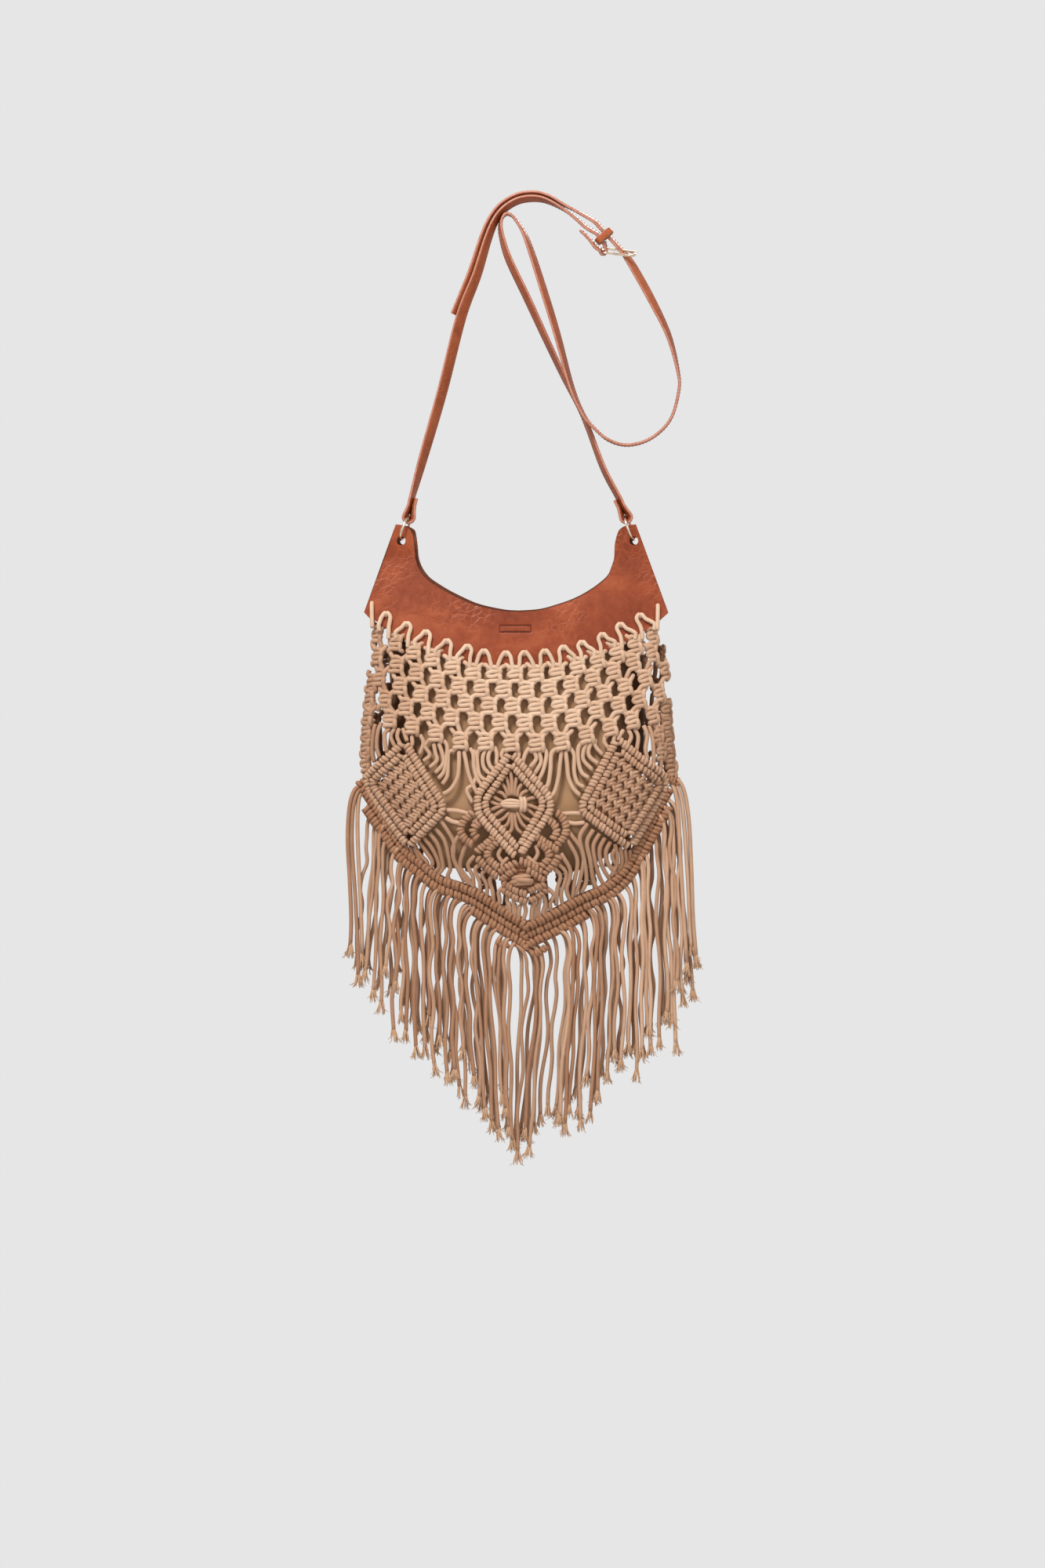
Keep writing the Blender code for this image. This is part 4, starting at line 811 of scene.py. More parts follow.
LOWER_STRANDS = (
    ((531, 1078), (534, 1090), (538, 1098), (543, 1108)),
    ((525, 1080), (528, 1090), (531, 1096), (535, 1103)),
    ((519, 1078), (522, 1088), (525, 1093), (528, 1098)),
    ((783, 1076), (785, 1090), (785, 1102), (779, 1117)),
    ((789, 1080), (791, 1091), (791, 1102), (786, 1112)),
    ((795, 1083), (796, 1092), (796, 1100), (792, 1108)),
    ((801, 1084), (801, 1091), (800, 1097), (798, 1103)), ((650, 1150), (652, 1160), (649, 1170)),
    ((657, 1152), (659, 1164), (656, 1174)), ((664, 1154), (663, 1166), (664, 1178)),
    ((680, 1153), (682, 1164), (678, 1176)), ((687, 1151), (686, 1162), (689, 1172)),
    ((694, 1148), (696, 1158), (694, 1168)),
    ((563, 1046), (573, 1061), (580, 1075), (580, 1095), (588, 1113), (593, 1124)),
    ((556, 1056), (567, 1070), (572, 1086), (575.5, 1106), (572, 1118), (578, 1128)),
    ((549, 1062), (559, 1076), (564, 1092), (566, 1107), (559, 1117), (566, 1126)),
    ((542, 1068), (552, 1081), (559, 1095), (561, 1106), (555, 1114), (558, 1122)),
    ((536, 1073), (545, 1086), (553, 1099), (550, 1108), (550, 1116)),
    ((530, 1079), (538, 1091), (546, 1100), (544, 1108)),
    ((589, 1062), (581, 1074), (579, 1092), (588, 1112), (600, 1128)),
    ((597, 1073), (591, 1088), (588, 1106), (599, 1122), (607, 1134)),
    ((606, 1091), (598, 1103), (604, 1118), (605, 1132)),
    ((614, 1101), (607, 1109), (613, 1125), (613, 1138)),
    ((623, 1107), (616, 1115), (622, 1129), (622, 1144)),
    ((632, 1112), (626, 1122), (629.7, 1137), (631, 1150)),
    ((645, 1130), (637.5, 1137), (638.7, 1148), (637, 1158)),
    ((650, 1134), (647.6, 1146), (649, 1155), (645, 1164)), ((656, 1142), (656.5, 1155), (656.5, 1170)),
    ((667, 1148), (670.6, 1161), (666.7, 1176)), ((682, 1148), (678, 1159), (677, 1174)),
    ((688, 1144), (687, 1152), (683, 1160), (686, 1172)),
    ((692, 1140), (695, 1152), (692, 1163), (695, 1168)),
    ((697, 1132), (706, 1141), (701, 1152), (703, 1164)),
    ((706, 1106), (714, 1117), (710, 1134), (709, 1154)),
    ((712, 1101), (721.6, 1115), (715, 1139), (717, 1154)),
    ((715, 1088), (726.7, 1111), (721.6, 1134), (727, 1150)),
    ((723, 1070), (735.6, 1096), (731.8, 1124), (729, 1146)),
    ((725, 1060), (743, 1088), (739.5, 1119), (733, 1142)),
    ((749, 1050), (739, 1068), (744, 1095), (747, 1122), (741, 1138)),
    ((756, 1058), (748, 1074), (752, 1098), (755, 1120), (760, 1134)),
    ((764, 1063), (756, 1078), (758, 1098), (763, 1116), (770, 1130)),
    ((771, 1068), (764, 1082), (765, 1098), (771, 1112), (779, 1124)),
    ((778, 1073), (772, 1085), (773, 1098), (779, 1108), (786, 1116)),
    ((785, 1079), (780, 1090), (783, 1100), (791, 1108)))
MIDDLE_STRANDS = (((571, 1033), (584, 1034), (599, 1038)), ((569, 1043), (579, 1048), (591, 1050)),
                  ((716, 1038), (727, 1037), (741, 1037)), ((720, 1047), (731, 1050), (745, 1049)))


TUCK = 0.8                  # how far an end tucks under, and over what share of the strand
TUCK_SHARE = 0.08


def strand(cords, line, lift, tone, radius=CORD_RADIUS):
    """A loose cord whose ends tuck under what they come from and go to."""
    line = smooth(line, 6)
    share = np.linspace(0, 1, len(line))
    lifts = lift - TUCK * (np.exp(-share / TUCK_SHARE) + np.exp(-(1 - share) / TUCK_SHARE))
    line = lay(np.column_stack([line, lifts]))
    cords.tube(line, radius * UNIT * rng.uniform(0.96, 1.04), tone=tone, inward=1)


for lines, lifts in ((STRANDS, (1.6, 2.6)), (LOWER_STRANDS, (1.8, 2.8))):
    for line in lines:
        strand(net, line, rng.uniform(*lifts), front_painted_shade(*line[1]) - 0.02)
for line in MIDDLE_STRANDS:
    strand(net, line, 2.2, 0.42)
settle(net.build("net_front_cord", cord_front), "cord", "net_front")


# Rows of hitches

HITCH = (
    (-1.0, -0.8, -1.0), (-1.0, -0.55, 1.2), (-0.55, -0.25, 3.0), (0.55, 0.25, 3.0), (1.0, 0.55, 1.2),
    (1.0, 0.8, -1.0))


def resample(line, spacing):
    """Equally spaced places and directions along a chart line."""
    line = smooth(line, 8)
    along = lengths_along(line)
    count = max(2, int(round(along[-1] / spacing)))
    at = (np.arange(count) + 0.5) / count * along[-1]
    here, ahead, behind = (np.column_stack([np.interp(at + step, along, line[:, k]) for k in (0, 1)])
                           for step in (0, 0.5, -0.5))
    return here, unit_rows(ahead - behind), line


def hitches(cords, line, half=4.5, spacing=4.9, base=0.4, tone=0.5, facing=-1, radius=2.65):
    """Cords wound side by side round a core."""
    places, runs, path = resample(line, spacing)
    core = np.column_stack([path, np.full(len(path), base + 1.0)])
    # The core's lower tone is painted shade under the wraps
    cords.tube(lay(core, BODY, facing), FILL_RADIUS * UNIT, 6, tone=tone - 0.2)
    for i, (at, run) in enumerate(zip(places, runs)):
        side = np.array((-run[1], run[0]))
        shift = 0.35 * (1 if i % 2 else -1)
        wide = (half - 0.85 * radius) * rng.uniform(0.92, 1.06)
        loop = [(*(at + side * (across * wide) + run * (along * 1.6 + shift)), base + lift)
                for across, along, lift in HITCH]
        cords.tube(lay(smooth(loop, 2), BODY, facing), radius * UNIT * rng.uniform(0.95, 1.04),
                   tone=tone + rng.uniform(-0.04, 0.04), inward=-facing)


# Side diamonds: their corners from the top, clockwise; their edge has two blunt corners at each side

LEFT = ((518, 939), (570, 1030), (523, 1087), (463, 999))
LEFT_EDGE = ((518, 939), (569, 1022), (570, 1037), (523, 1087), (467, 1011), (464, 990))
RIGHT = ((785, 935), (853, 999), (802, 1088), (737, 1031))
RIGHT_EDGE = ((785, 935), (851, 990), (850, 1009), (802, 1088), (739, 1038), (738, 1023))
SMALL_PARTS = (
    # right, down, lift of each part of a small knot
    ((-8.5, -7.0, 0.6), (-4.5, -5.6, 2.8), (0.5, -3.0, 4.0), (4.8, -0.2, 2.0)),
    ((-7.0, -0.6, 0.8), (-3.5, 0.6, 3.2), (1.0, 2.4, 3.9), (4.0, 5.4, 1.6)),
    ((8.5, -8.5, 0.4), (5.6, -5.2, 3.0), (5.0, -0.8, 4.2), (4.4, 3.4, 3.4), (6.4, 8.0, 0.8)),
    ((-2.0, 2.0, 1.0), (-4.8, 5.6, 2.6), (-8.4, 9.6, 0.4)),
    ((-9.5, 3.5, 0.2), (-6.0, 1.0, 1.8), (-3.0, -2.0, 1.6)))
SMALL_SIZE = 0.80
SMALL_RADIUS = 2.25
SMALL_WANDER = 0.25
FILL_CORDS = 9
FIELD = 5                   # small knots along each side of a diamond's field


def inset_loop(corners, inset):
    middle = np.mean(corners, axis=0)
    moved = []
    for i in range(len(corners)):
        a, b, c = (np.array(corners[(i + k) % len(corners)], float) for k in (-1, 0, 1))
        normals = []
        for run in ((b - a) / np.linalg.norm(b - a), (c - b) / np.linalg.norm(c - b)):
            normal = np.array((-run[1], run[0]))
            normals.append(-normal if normal @ (middle - b) < 0 else normal)
        moved.append(b + (normals[0] + normals[1]) * inset / (1 + normals[0] @ normals[1]))
    return moved


def small_knot(cords, x, y, mirror, tone):
    for part in SMALL_PARTS:
        line = np.array([(x + SMALL_SIZE * mirror * a, y + SMALL_SIZE * b, lift) for a, b, lift in part])
        line[:, :2] += rng.normal(0, SMALL_WANDER, (len(line), 2))
        cords.tube(lay(smooth(line, 3)), SMALL_RADIUS * UNIT, tone=tone + rng.uniform(-0.05, 0.05), inward=1)


def side_diamond(name, corners, edge, mirror):
    cords = Cords()
    # The diamonds' rows and small knots get low tones: painted shade low on the bag
    for inset, half, base, tone in ((4.8, 5.1, 2.4, 0.30), (14.2, 4.7, 2.2, 0.27)):
        top, right_up, right_down, bottom, left_down, left_up = inset_loop(edge, inset)
        for path in ((top, right_up, right_down, bottom), (top, left_up, left_down, bottom)):
            line = [a + (b - a) * share for a, b in zip(path, path[1:]) for share in (0.05, 0.35, 0.65, 0.95)]
            hitches(cords, line, half=half, base=base, tone=tone)
    top, right, bottom, left = inset_loop(corners, 15.0)
    # Dark cords across the field, behind the small knots: painted shade in the gaps between them
    for k in range(FILL_CORDS):
        share = (k + 0.5) / FILL_CORDS
        for a, b in ((top + share * (right - top), left + share * (bottom - left)),
                     (top + share * (left - top), right + share * (bottom - right))):
            line = [(*(a + t * (b - a)), 0.2) for t in (0.0, 0.25, 0.5, 0.75, 1.0)]
            cords.tube(lay(line), 2.5 * UNIT, 6, tone=-0.15)
    top, right, bottom, left = inset_loop(corners, 17.0)
    steps = [(i + 0.5) / FIELD for i in range(FIELD)]
    for u in steps:
        for v in steps:
            at = top * (1 - u) * (1 - v) + right * u * (1 - v) + bottom * u * v + left * (1 - u) * v
            small_knot(cords, *at, mirror, 0.24)
    settle(cords.build(name + "_cord", cord_front), "cord", name)


side_diamond("diamond_left", LEFT, LEFT_EDGE, 1)
side_diamond("diamond_right", RIGHT, RIGHT_EDGE, -1)


# Middle diamond: two rows of hitches on each side, loose cords to its hub, and the hub's loops

CENTRE_ROWS = (
    ((649.5, 963), (631, 986), (613.5, 1008), (610, 1017), (610, 1029), (613.5, 1042), (635, 1067),
    (657, 1091)), ((654.5, 963.5), (675, 987), (696, 1011), (701, 1021), (701.5, 1031), (698, 1040),
    (681, 1064), (664, 1088)),
    ((650, 975.5), (635, 998), (621, 1018), (619.5, 1028), (624, 1039), (642, 1060), (660, 1081)),
    ((653.5, 976), (672, 998), (690, 1018), (691, 1029), (687, 1038), (675, 1058), (664, 1077)))
RADIAL = (
    ((651, 984), (653, 997), (653, 1014)), ((646, 991), (649, 1002), (651, 1015)),
    ((659, 992), (657, 1003), (656, 1015)), ((666, 1000), (661, 1007), (660, 1016)),
    ((673, 1008), (666, 1012), (663, 1019)), ((682, 1017), (674, 1019), (669, 1023)),
    ((641, 1000), (645, 1006), (648, 1015)), ((634, 1009), (641, 1012), (646, 1018)),
    ((630, 1016), (636, 1020), (643, 1023)), ((626, 1022), (632, 1025), (641, 1027)),
    ((627, 1033), (635, 1029), (645, 1026)), ((630, 1041), (637, 1036), (646, 1030)),
    ((634, 1048), (642, 1044), (650, 1036)), ((641, 1056), (648, 1050), (651, 1038)),
    ((648, 1063), (653, 1056), (653, 1036)), ((666, 1063), (659, 1055), (656, 1036)),
    ((673, 1057), (665, 1049), (659, 1035)), ((679, 1048), (669, 1042), (662, 1033)),
    ((683, 1041), (675, 1034), (666, 1029)), ((687, 1032), (678, 1028), (669, 1026)))
HUB = (655.0, 1024.5)

centre = Cords()
# Low tones here are painted shade low on the bag; the radial strands are darker still, painted shade where
# they lie deep
for i, line in enumerate(CENTRE_ROWS):
    half, base, tone = (5.0, 2.4, 0.36) if i < 2 else (4.6, 2.0, 0.33)
    hitches(centre, line, half=half, base=base, tone=tone)
for line in RADIAL:
    strand(centre, line, rng.uniform(0.8, 2.0), 0.24, radius=2.35)
for dx, dy, length in ((0, -3.6, 14), (-1, 0.2, 16), (0, 3.6, 14)):
    line = [(HUB[0] - length, HUB[1] + 0.4 * dy + 1, 2.4), (HUB[0] - 0.4 * length, HUB[1] + dy, 4.2),
            (HUB[0] + 0.4 * length, HUB[1] + 0.8 * dy + 0.5, 4.2),
            (HUB[0] + length + 2, HUB[1] + 0.3 * dy + 1.5, 2.4)]
    centre.tube(lay(smooth(line, 5)), 2.6 * UNIT, tone=0.46)
for dx in (-2.6, 1.6):
    line = [(667 + dx, 1017.5, 2.0), (668 + dx, 1021, 5.4), (668.4 + dx, 1026, 5.9), (668 + dx, 1031, 5.2),
            (667 + dx, 1034, 2.0)]
    centre.tube(lay(smooth(line, 4)), 2.5 * UNIT, tone=0.48)
settle(centre.build("diamond_centre_cord", cord_front), "cord", "diamond_centre")


# Rosette: rows of hitches round a berry knot, with dark cords behind them as painted shade

ROSETTE_ROWS = (
    ((604, 1036), (594, 1044), (588, 1057), (593, 1069), (604, 1077)),
    ((617, 1047), (608, 1052), (604, 1060), (609, 1070)),
    ((710, 1036), (718, 1044), (722, 1056), (719, 1067), (710, 1077)),
    ((700, 1046), (707, 1052), (710, 1061), (705, 1070)), ((630, 1068), (620, 1077), (609, 1086)),
    ((610, 1094), (622, 1106), (636, 1118)), ((634, 1074), (624, 1083), (624, 1095), (637, 1107)),
    ((684, 1066), (698, 1076), (712, 1084)), ((713, 1091), (704, 1103), (693, 1114)),
    ((686, 1074), (697, 1082), (700, 1094), (690, 1105)), ((660, 1099), (649, 1105), (637, 1112)),
    ((663, 1097), (677, 1103), (691, 1111)), ((658, 1108), (649, 1114), (641, 1122)),
    ((672, 1108), (683, 1115), (694, 1123)), ((643, 1126), (657, 1134), (672, 1140)),
    ((694, 1127), (684, 1132), (673, 1136)), ((643, 1134), (657, 1143), (672, 1150)),
    ((696, 1134), (685, 1143), (674, 1149)))
ROSETTE_STRANDS = (
    ((618, 1036), (611, 1043), (604, 1049)), ((696, 1036), (702, 1043), (707, 1049)),
    ((640, 1080), (636, 1090), (641, 1099)), ((683, 1078), (686, 1088), (681, 1098)),
    ((648, 1094), (643, 1099), (640, 1105)), ((672, 1092), (680, 1099), (688, 1104)))
BERRY = (667, 1122)

rosette = Cords()
# The rosette's low tone is painted shade low on the bag
for line in ROSETTE_ROWS:
    hitches(rosette, line, half=5.1, base=1.6, tone=0.16)
for dx, dy, lift, tilt in ((-2, -4, 5.2, 0.4), (1, 0, 6.6, -0.3), (0, 4, 5.4, 0.2), (-4, 1, 5.4, 0.6)):
    line = [(BERRY[0] + dx + 5 * k, BERRY[1] + dy - 2 * k * tilt, at)
            for k, at in ((-2, 2.6), (-1, lift - 0.6), (0, lift), (1, lift - 0.6), (2, 2.6))]
    rosette.tube(lay(smooth(line, 4)), 3.2 * UNIT, tone=0.22)
# Dark cords across the rosette's middle, behind the berry: painted shade in the gaps
for k in range(9):
    y = 1104 + 5.4 * k
    reach = 30 - 0.05 * (y - 1118) ** 2 * (1 if y > 1118 else 0.6)
    line = [(BERRY[0] + reach * t, y, 0.0) for t in (-1, -0.5, 0, 0.5, 1)]
    if reach > 4:
        rosette.tube(lay(line), 3.2 * UNIT, 6, tone=-0.12)
for line in ROSETTE_STRANDS:
    strand(rosette, line, 1.4, 0.30)
settle(rosette.build("rosette_cord", cord_front), "cord", "rosette")


# The V of hitched rows, three to a side, and small knots at its tip and ends

BORDER_LEFT = (
    (462, 1004), (475, 1024), (490, 1046.5), (505, 1069), (518.5, 1088), (536, 1101), (551, 1114),
    (565, 1124), (587, 1131), (611, 1141), (635, 1157), (655, 1170), (675, 1182))
BORDER_RIGHT = (
    (670, 1182), (688, 1174), (714, 1161), (739, 1147), (766, 1136), (780, 1126), (794, 1112), (806, 1093),
    (819, 1069), (832, 1047), (844, 1024), (854, 1006))
BORDER_PITCH = 10.6
SMALL_ROWS = (((634, 1200), (641, 1206), (649, 1205)), ((677, 1216), (687, 1215), (698, 1207)),
              ((848, 990), (857, 996), (864, 999)), ((474, 990), (465, 997), (458, 1001)))


def beside(line, away):
    """A chart line moved sideways, to the right of its run for a negative distance."""
    line = smooth(line, 6)
    run = unit_rows(np.gradient(line, axis=0))
    return line + away * np.column_stack([-run[:, 1], run[:, 0]])


def border(name, facing, finish, tone):
    cords = Cords()
    for k in range(3):
        for line, left in ((BORDER_LEFT, True), (BORDER_RIGHT, False)):
            path = beside(line, k * BORDER_PITCH)[::3]
            if k:
                path = path[path[:, 1] > 1010 + 14 * k]
            if k == 2:
                path = path[(path[:, 0] > 592) & (path[:, 0] < 750)]
            path = [p for p in path.tolist() if (p[0] < 668 if left else p[0] > 674)]
            tip = [(673 if left else 668, 1184 + 12.6 * k)]
            path = path + tip if left else tip + path
            hitches(cords, path, half=5.8, spacing=5.6, base=2.0, radius=2.85, tone=tone, facing=facing)
            # Dark cords along each side of a row: painted shade in the gaps between rows
            for away in (-4.0, 4.0):
                seam = beside(path, away)
                seam = np.column_stack([seam, np.full(len(seam), 0.8)])
                cords.tube(lay(seam, BODY, facing), FILL_RADIUS * UNIT, 6, tone=-0.1)
    if facing < 0:
        for line in SMALL_ROWS:
            hitches(cords, line, half=4.8, base=1.0, tone=tone, facing=facing)
    settle(cords.build(name + "_cord", finish), "cord", name)


# The front border's low tone is painted shade where the bag turns down, away from the light
border("border_front", -1, cord_front, 0.04)
border("border_back", 1, cord_back_painted_shade, 0.38)


# Back net

BACK_ROWS = (
    # down, rise, pitch, start
    (0.38, 0.1, 0.144, 0.5), (0.448, 0.095, 0.152, 0.0), (0.523, 0.085, 0.158, 0.5),
    (0.598, 0.075, 0.16, 0.0), (0.673, 0.065, 0.16, 0.5), (0.748, 0.055, 0.16, 0.0),
    (0.823, 0.05, 0.16, 0.5))


def border_line(heights):
    """The border's middle line on the chart, moved down by a share of its height."""
    return np.array([(MIDDLE + CHART_HALF * a, CHART_TOP + CHART_HEIGHT * d + CHART_HALF * h * heights)
                     for a, d, h in BORDER_LINE])


across = [i / 20 for i in range(-20, 21)]
rows = [(655, pitch * CHART_HALF, 0.5 - start,
         [(MIDDLE + CHART_HALF * a, CHART_TOP + CHART_HEIGHT * (down - rise * a ** 2)) for a in across])
        for down, rise, pitch, start in BACK_ROWS]
back = Cords()
net_knots(back, 1, rows, 4, (5, 10, 40), lambda x, y: 0.5, border=border_line(-1))
settle(back.build("net_back_cord", cord_back_painted_shade), "cord", "net_back")


# Fringe

SIDE_ENDS = (
    # the outermost cords, from the border to their ends
    ((460, 1002), (452, 1008), (446, 1028), (443.5, 1070), (446, 1120), (448, 1170), (447, 1205)),
    ((462, 1005), (455, 1013), (450, 1036), (449, 1080), (453, 1140), (456, 1200), (457, 1243)),
    ((464, 1009), (458, 1018), (456, 1045), (457, 1090), (460, 1150), (462, 1218)),
    ((857, 992), (867, 997), (874, 1014), (879, 1050), (882, 1110), (884, 1170), (888, 1220)),
    ((857, 996), (864, 1003), (870, 1025), (874, 1070), (878, 1130), (880, 1180), (882, 1208)),
    ((855, 1000), (861, 1009), (865, 1035), (867, 1080), (871, 1150), (876, 1229)))
FRONT_ENDS = (
    (466, 1238), (477, 1262), (486, 1277), (494, 1232), (506, 1251), (501, 1313), (512, 1290), (519, 1315),
    (530, 1335), (542, 1335), (548, 1296), (553, 1358), (562, 1322), (570, 1368), (579, 1364), (585, 1385),
    (590, 1340), (594, 1398), (604, 1372), (613, 1398), (619, 1414), (628, 1430), (636, 1440), (641, 1395),
    (648, 1437), (646, 1413), (653, 1453), (659, 1469), (676, 1462), (669, 1440), (720, 1433), (714, 1422),
    (740, 1428), (726, 1410), (754, 1417), (757, 1394), (748, 1372), (763, 1391), (775, 1367), (784, 1340),
    (793, 1352), (802, 1330), (812, 1365), (818, 1339), (826, 1310), (830, 1333), (842, 1324), (851, 1290),
    (861, 1330), (858, 1297), (870, 1269), (864, 1251))
FRINGE_HALF = 225           # half the fringe's width at its ends, and at its roots
ROOT_HALF = 203
ROOT_LIMITS = (462, 853)
LOW_EDGE = border_line(1.1)
LOW_EDGE[0], LOW_EDGE[-1] = (450, 1002), (868, 1002)
FIBRES = 22
FIBRE_RADII = np.array((0.00050, 0.00048, 0.00040, 0.00020))


def fringe_line(ex, ey, lifts):
    """A cord from under the border, out over its edge and down in waves to its end."""
    side = -1 if ex < NET_MIDDLE else 1
    spread = (ex - NET_MIDDLE) / FRINGE_HALF
    sx = MIDDLE + ROOT_HALF * math.copysign(abs(spread) ** 0.9, spread) + rng.uniform(-3, 3)
    sx = min(max(sx, ROOT_LIMITS[0]), ROOT_LIMITS[1])
    sy = float(look_up(LOW_EDGE, sx))
    out = side * rng.uniform(5, 10)
    lift = rng.uniform(*lifts)
    line = [(sx - 0.6 * out, sy - 6, 1.6), (sx + 0.3 * out, sy - 1, lift), (sx + 0.85 * out, sy + 6, lift),
            (sx + 1.15 * out, sy + 16, lift), (sx + 1.2 * out, sy + 28, lift)]
    waves = rng.uniform(1.2, 2.6)
    phase, size = rng.uniform(0, 2 * math.pi), rng.uniform(1.4, 4.4)
    for share in [k / 9 for k in range(1, 10)]:
        x = (1 - share) * (sx + 1.2 * out) + share * ex
        x += size * math.sin(phase + 2 * math.pi * waves * share) * (1 - 0.6 * share)
        line.append((x, sy + 28 + (ey - sy - 28) * share, lift + 0.7 * math.sin(phase + 5 * share)))
    return line


def fray_end(tufts, tip, run):
    """Fibres that spread from a cord's end."""
    for _ in range(FIBRES):
        turn, away = rng.uniform(0, 2 * math.pi), rng.uniform(0.2, 1.0)
        out = np.array((math.cos(turn), math.sin(turn), 0.0))
        reach = rng.uniform(0.007, 0.0125)
        line = [tip - run * 0.002 + out * 0.0014 * away,
                tip + run * 0.35 * reach + out * (0.0015 + 0.0010 * away),
                tip + run * 0.75 * reach + out * (0.0016 + 0.0026 * away * rng.uniform(0.4, 1.2)),
                tip + run * reach + out * (0.0016 + 0.0066 * away * rng.uniform(0.2, 1.2))]
        tufts.tube(line, FIBRE_RADII, 3, tone=0.6)


def fringe(name, facing, ends, finish, tone, lifts):
    cords, tufts = Cords(), Cords()
    runs = []
    for line in SIDE_ENDS:
        lift = rng.uniform(*lifts)
        runs.append([(*line[0], 1.2)] + [(x, y, lift) for x, y in line[1:]])
    runs += [fringe_line(*end, lifts) for end in sorted(ends)]
    for line in runs:
        points = lay(smooth(line, 4), BODY, facing)
        own = tone + rng.uniform(-0.14, 0.12)
        # Painted light: front cords further to the right are made lighter
        if facing < 0:
            own += 0.16 * min(1.0, max(0.0, (line[-1][0] - 740) / 100))
        cords.tube(points, CORD_RADIUS * UNIT * rng.uniform(0.86, 0.96), tone=own)
        run = points[-1] - points[-3]
        fray_end(tufts, points[-1], run / np.linalg.norm(run))
    settle(cords.build(name + "_cord", finish), "cord", name)
    settle(tufts.build(name + "_ends", fray), "cord")


# The front fringe's low tone is painted shade low on the bag
fringe("fringe_front", -1, FRONT_ENDS, cord_front, 0.20, (2.0, 5.6))
table = np.array(sorted(FRONT_ENDS))
back_ends = []
for i in range(52):
    x = 452 + 436 * (i + 0.5) / 52
    y = float(look_up(table, x)) - rng.uniform(0, 34)
    back_ends.append((x + rng.uniform(-3, 3), y))
fringe("fringe_back", 1, back_ends, cord_back_painted_shade, 0.38, (1.5, 5.2))


# Lining

def build_lining(sides=96, count=60):
    shape = bmesh.new()
    downs = np.linspace(LINING_SECTIONS[0, 0], LINING_SECTIONS[-1, 0], count)

    def ring(down, inset):
        width = look_up(LINING_SECTIONS, down) * HALF_WIDTH - inset
        depth = max(look_up(LINING_SECTIONS, down, 2) * HALF_DEPTH - inset, 0.0004)
        made = []
        for i in range(sides):
            turn = 2 * math.pi * (i + 0.5) / sides
            c, s = math.cos(turn), math.sin(turn)
            x = width * math.copysign(abs(c) ** (2 / SECTION_POWER), c)
            y = depth * math.copysign(abs(s) ** (2 / SECTION_POWER), s)
            fold = 0.0006 * math.sin(60 * x + 25 * down + 2 * c) + 0.0004 * math.sin(140 * x - 18 * down)
            at = (BODY_SHIFT + x, y + (fold - 0.0008) * s, YOKE_TOP - down * BODY_HEIGHT)
            made.append(shape.verts.new(at))
        return made

    outer = [ring(down, 0.0) for down in downs]
    inner = [ring(down, LINING_WALL) for down in downs[:-2]]
    for rings in (outer, inner, (inner[0], outer[0])):
        join_rings(shape, rings)
    for last in (outer[-1], inner[-1]):
        shape.faces.new(last)
    bmesh.ops.recalc_face_normals(shape, faces=shape.faces[:])
    return place_shape("lining_cloth", shape, 180, cloth)


settle(build_lining(), "cloth", "lining")


# Strap

BUCKLE_ROUTE = (
    # across, down, back, twist
    (-0.265, 0.742, 0.0, -36), (-0.207, 0.54, 0.0, -44), (-0.149, 0.311, 0.0, -46),
    (-0.101, 0.183, 0.0, -38), (-0.067, 0.072, 0.0, -30), (-0.043, 0.014, 0.0, -24),
    (-0.014, -0.022, 0.0, -22), (0.027, -0.046, 0.0, -22), (0.072, -0.053, 0.0, -20),
    (0.113, -0.046, 0.0, -12), (0.161, -0.022, 0.0, 0), (0.202, 0.007, 0.0, 10), (0.236, 0.036, 0.0, 14),
    (0.27, 0.0565, 0.0, 15), (0.2895, 0.08, 0.0, 15))
RETURN_ROUTE = (
    (0.2645, 0.0965, 0.0, -14), (0.249, 0.076, 0.0, -10), (0.232, 0.058, 0.0, -8), (0.217, 0.045, 0.0, -6))
LONG_ROUTE = (
    (0.289, 0.778, 0.002, 18), (0.243, 0.655, 0.006, 14), (0.214, 0.586, 0.008, 12),
    (0.166, 0.492, 0.008, 16), (0.108, 0.369, 0.006, 22), (0.051, 0.246, 0.004, 26),
    (-0.002, 0.135, 0.002, 24), (-0.024, 0.065, 0.0, 16), (-0.028, 0.025, 0.0, 8), (-0.018, 0.001, 0.0, 0),
    (-0.005, -0.005, 0.0, 0), (0.013, 0.006, 0.0, 4), (0.039, 0.043, 0.0, 12), (0.063, 0.101, -0.002, 22),
    (0.104, 0.229, -0.005, 28), (0.145, 0.364, -0.0075, 26), (0.19, 0.528, -0.009, 18),
    (0.227, 0.614, -0.009, 10), (0.26, 0.655, -0.007, 6), (0.306, 0.692, -0.005, 0),
    (0.366, 0.706, -0.003, 0), (0.436, 0.684, -0.001, 0), (0.494, 0.627, 0.0, 0), (0.52, 0.54, 0.0, 0),
    (0.518, 0.48, 0.0, -6), (0.489, 0.369, 0.0, -20), (0.436, 0.258, 0.0, -32), (0.378, 0.154, 0.0, -32),
    (0.349, 0.113, 0.0, -20), (0.326, 0.0865, 0.0, -16), (0.302, 0.0605, 0.0, -15),
    (0.277, 0.034, 0.0, -15), (0.253, 0.012, 0.0, -15))
BAR_PLACE = (0.288, 0.107)
TAIL_ROWS = (11, 2)         # the tail follows the other strap from this row of its route back to that one
TAIL_GAP = 0.0012
KEEPER_PLACE = (0.2905, 0.0632)
KEEPER_HEADING = math.radians(-49)


def strap_place(across, down, back=0.0, twist=0.0):
    return (across * STRAP_DROP, back, -down * STRAP_DROP, twist)


def flat(row):
    return Vector((row[0], 0.0, row[2]))


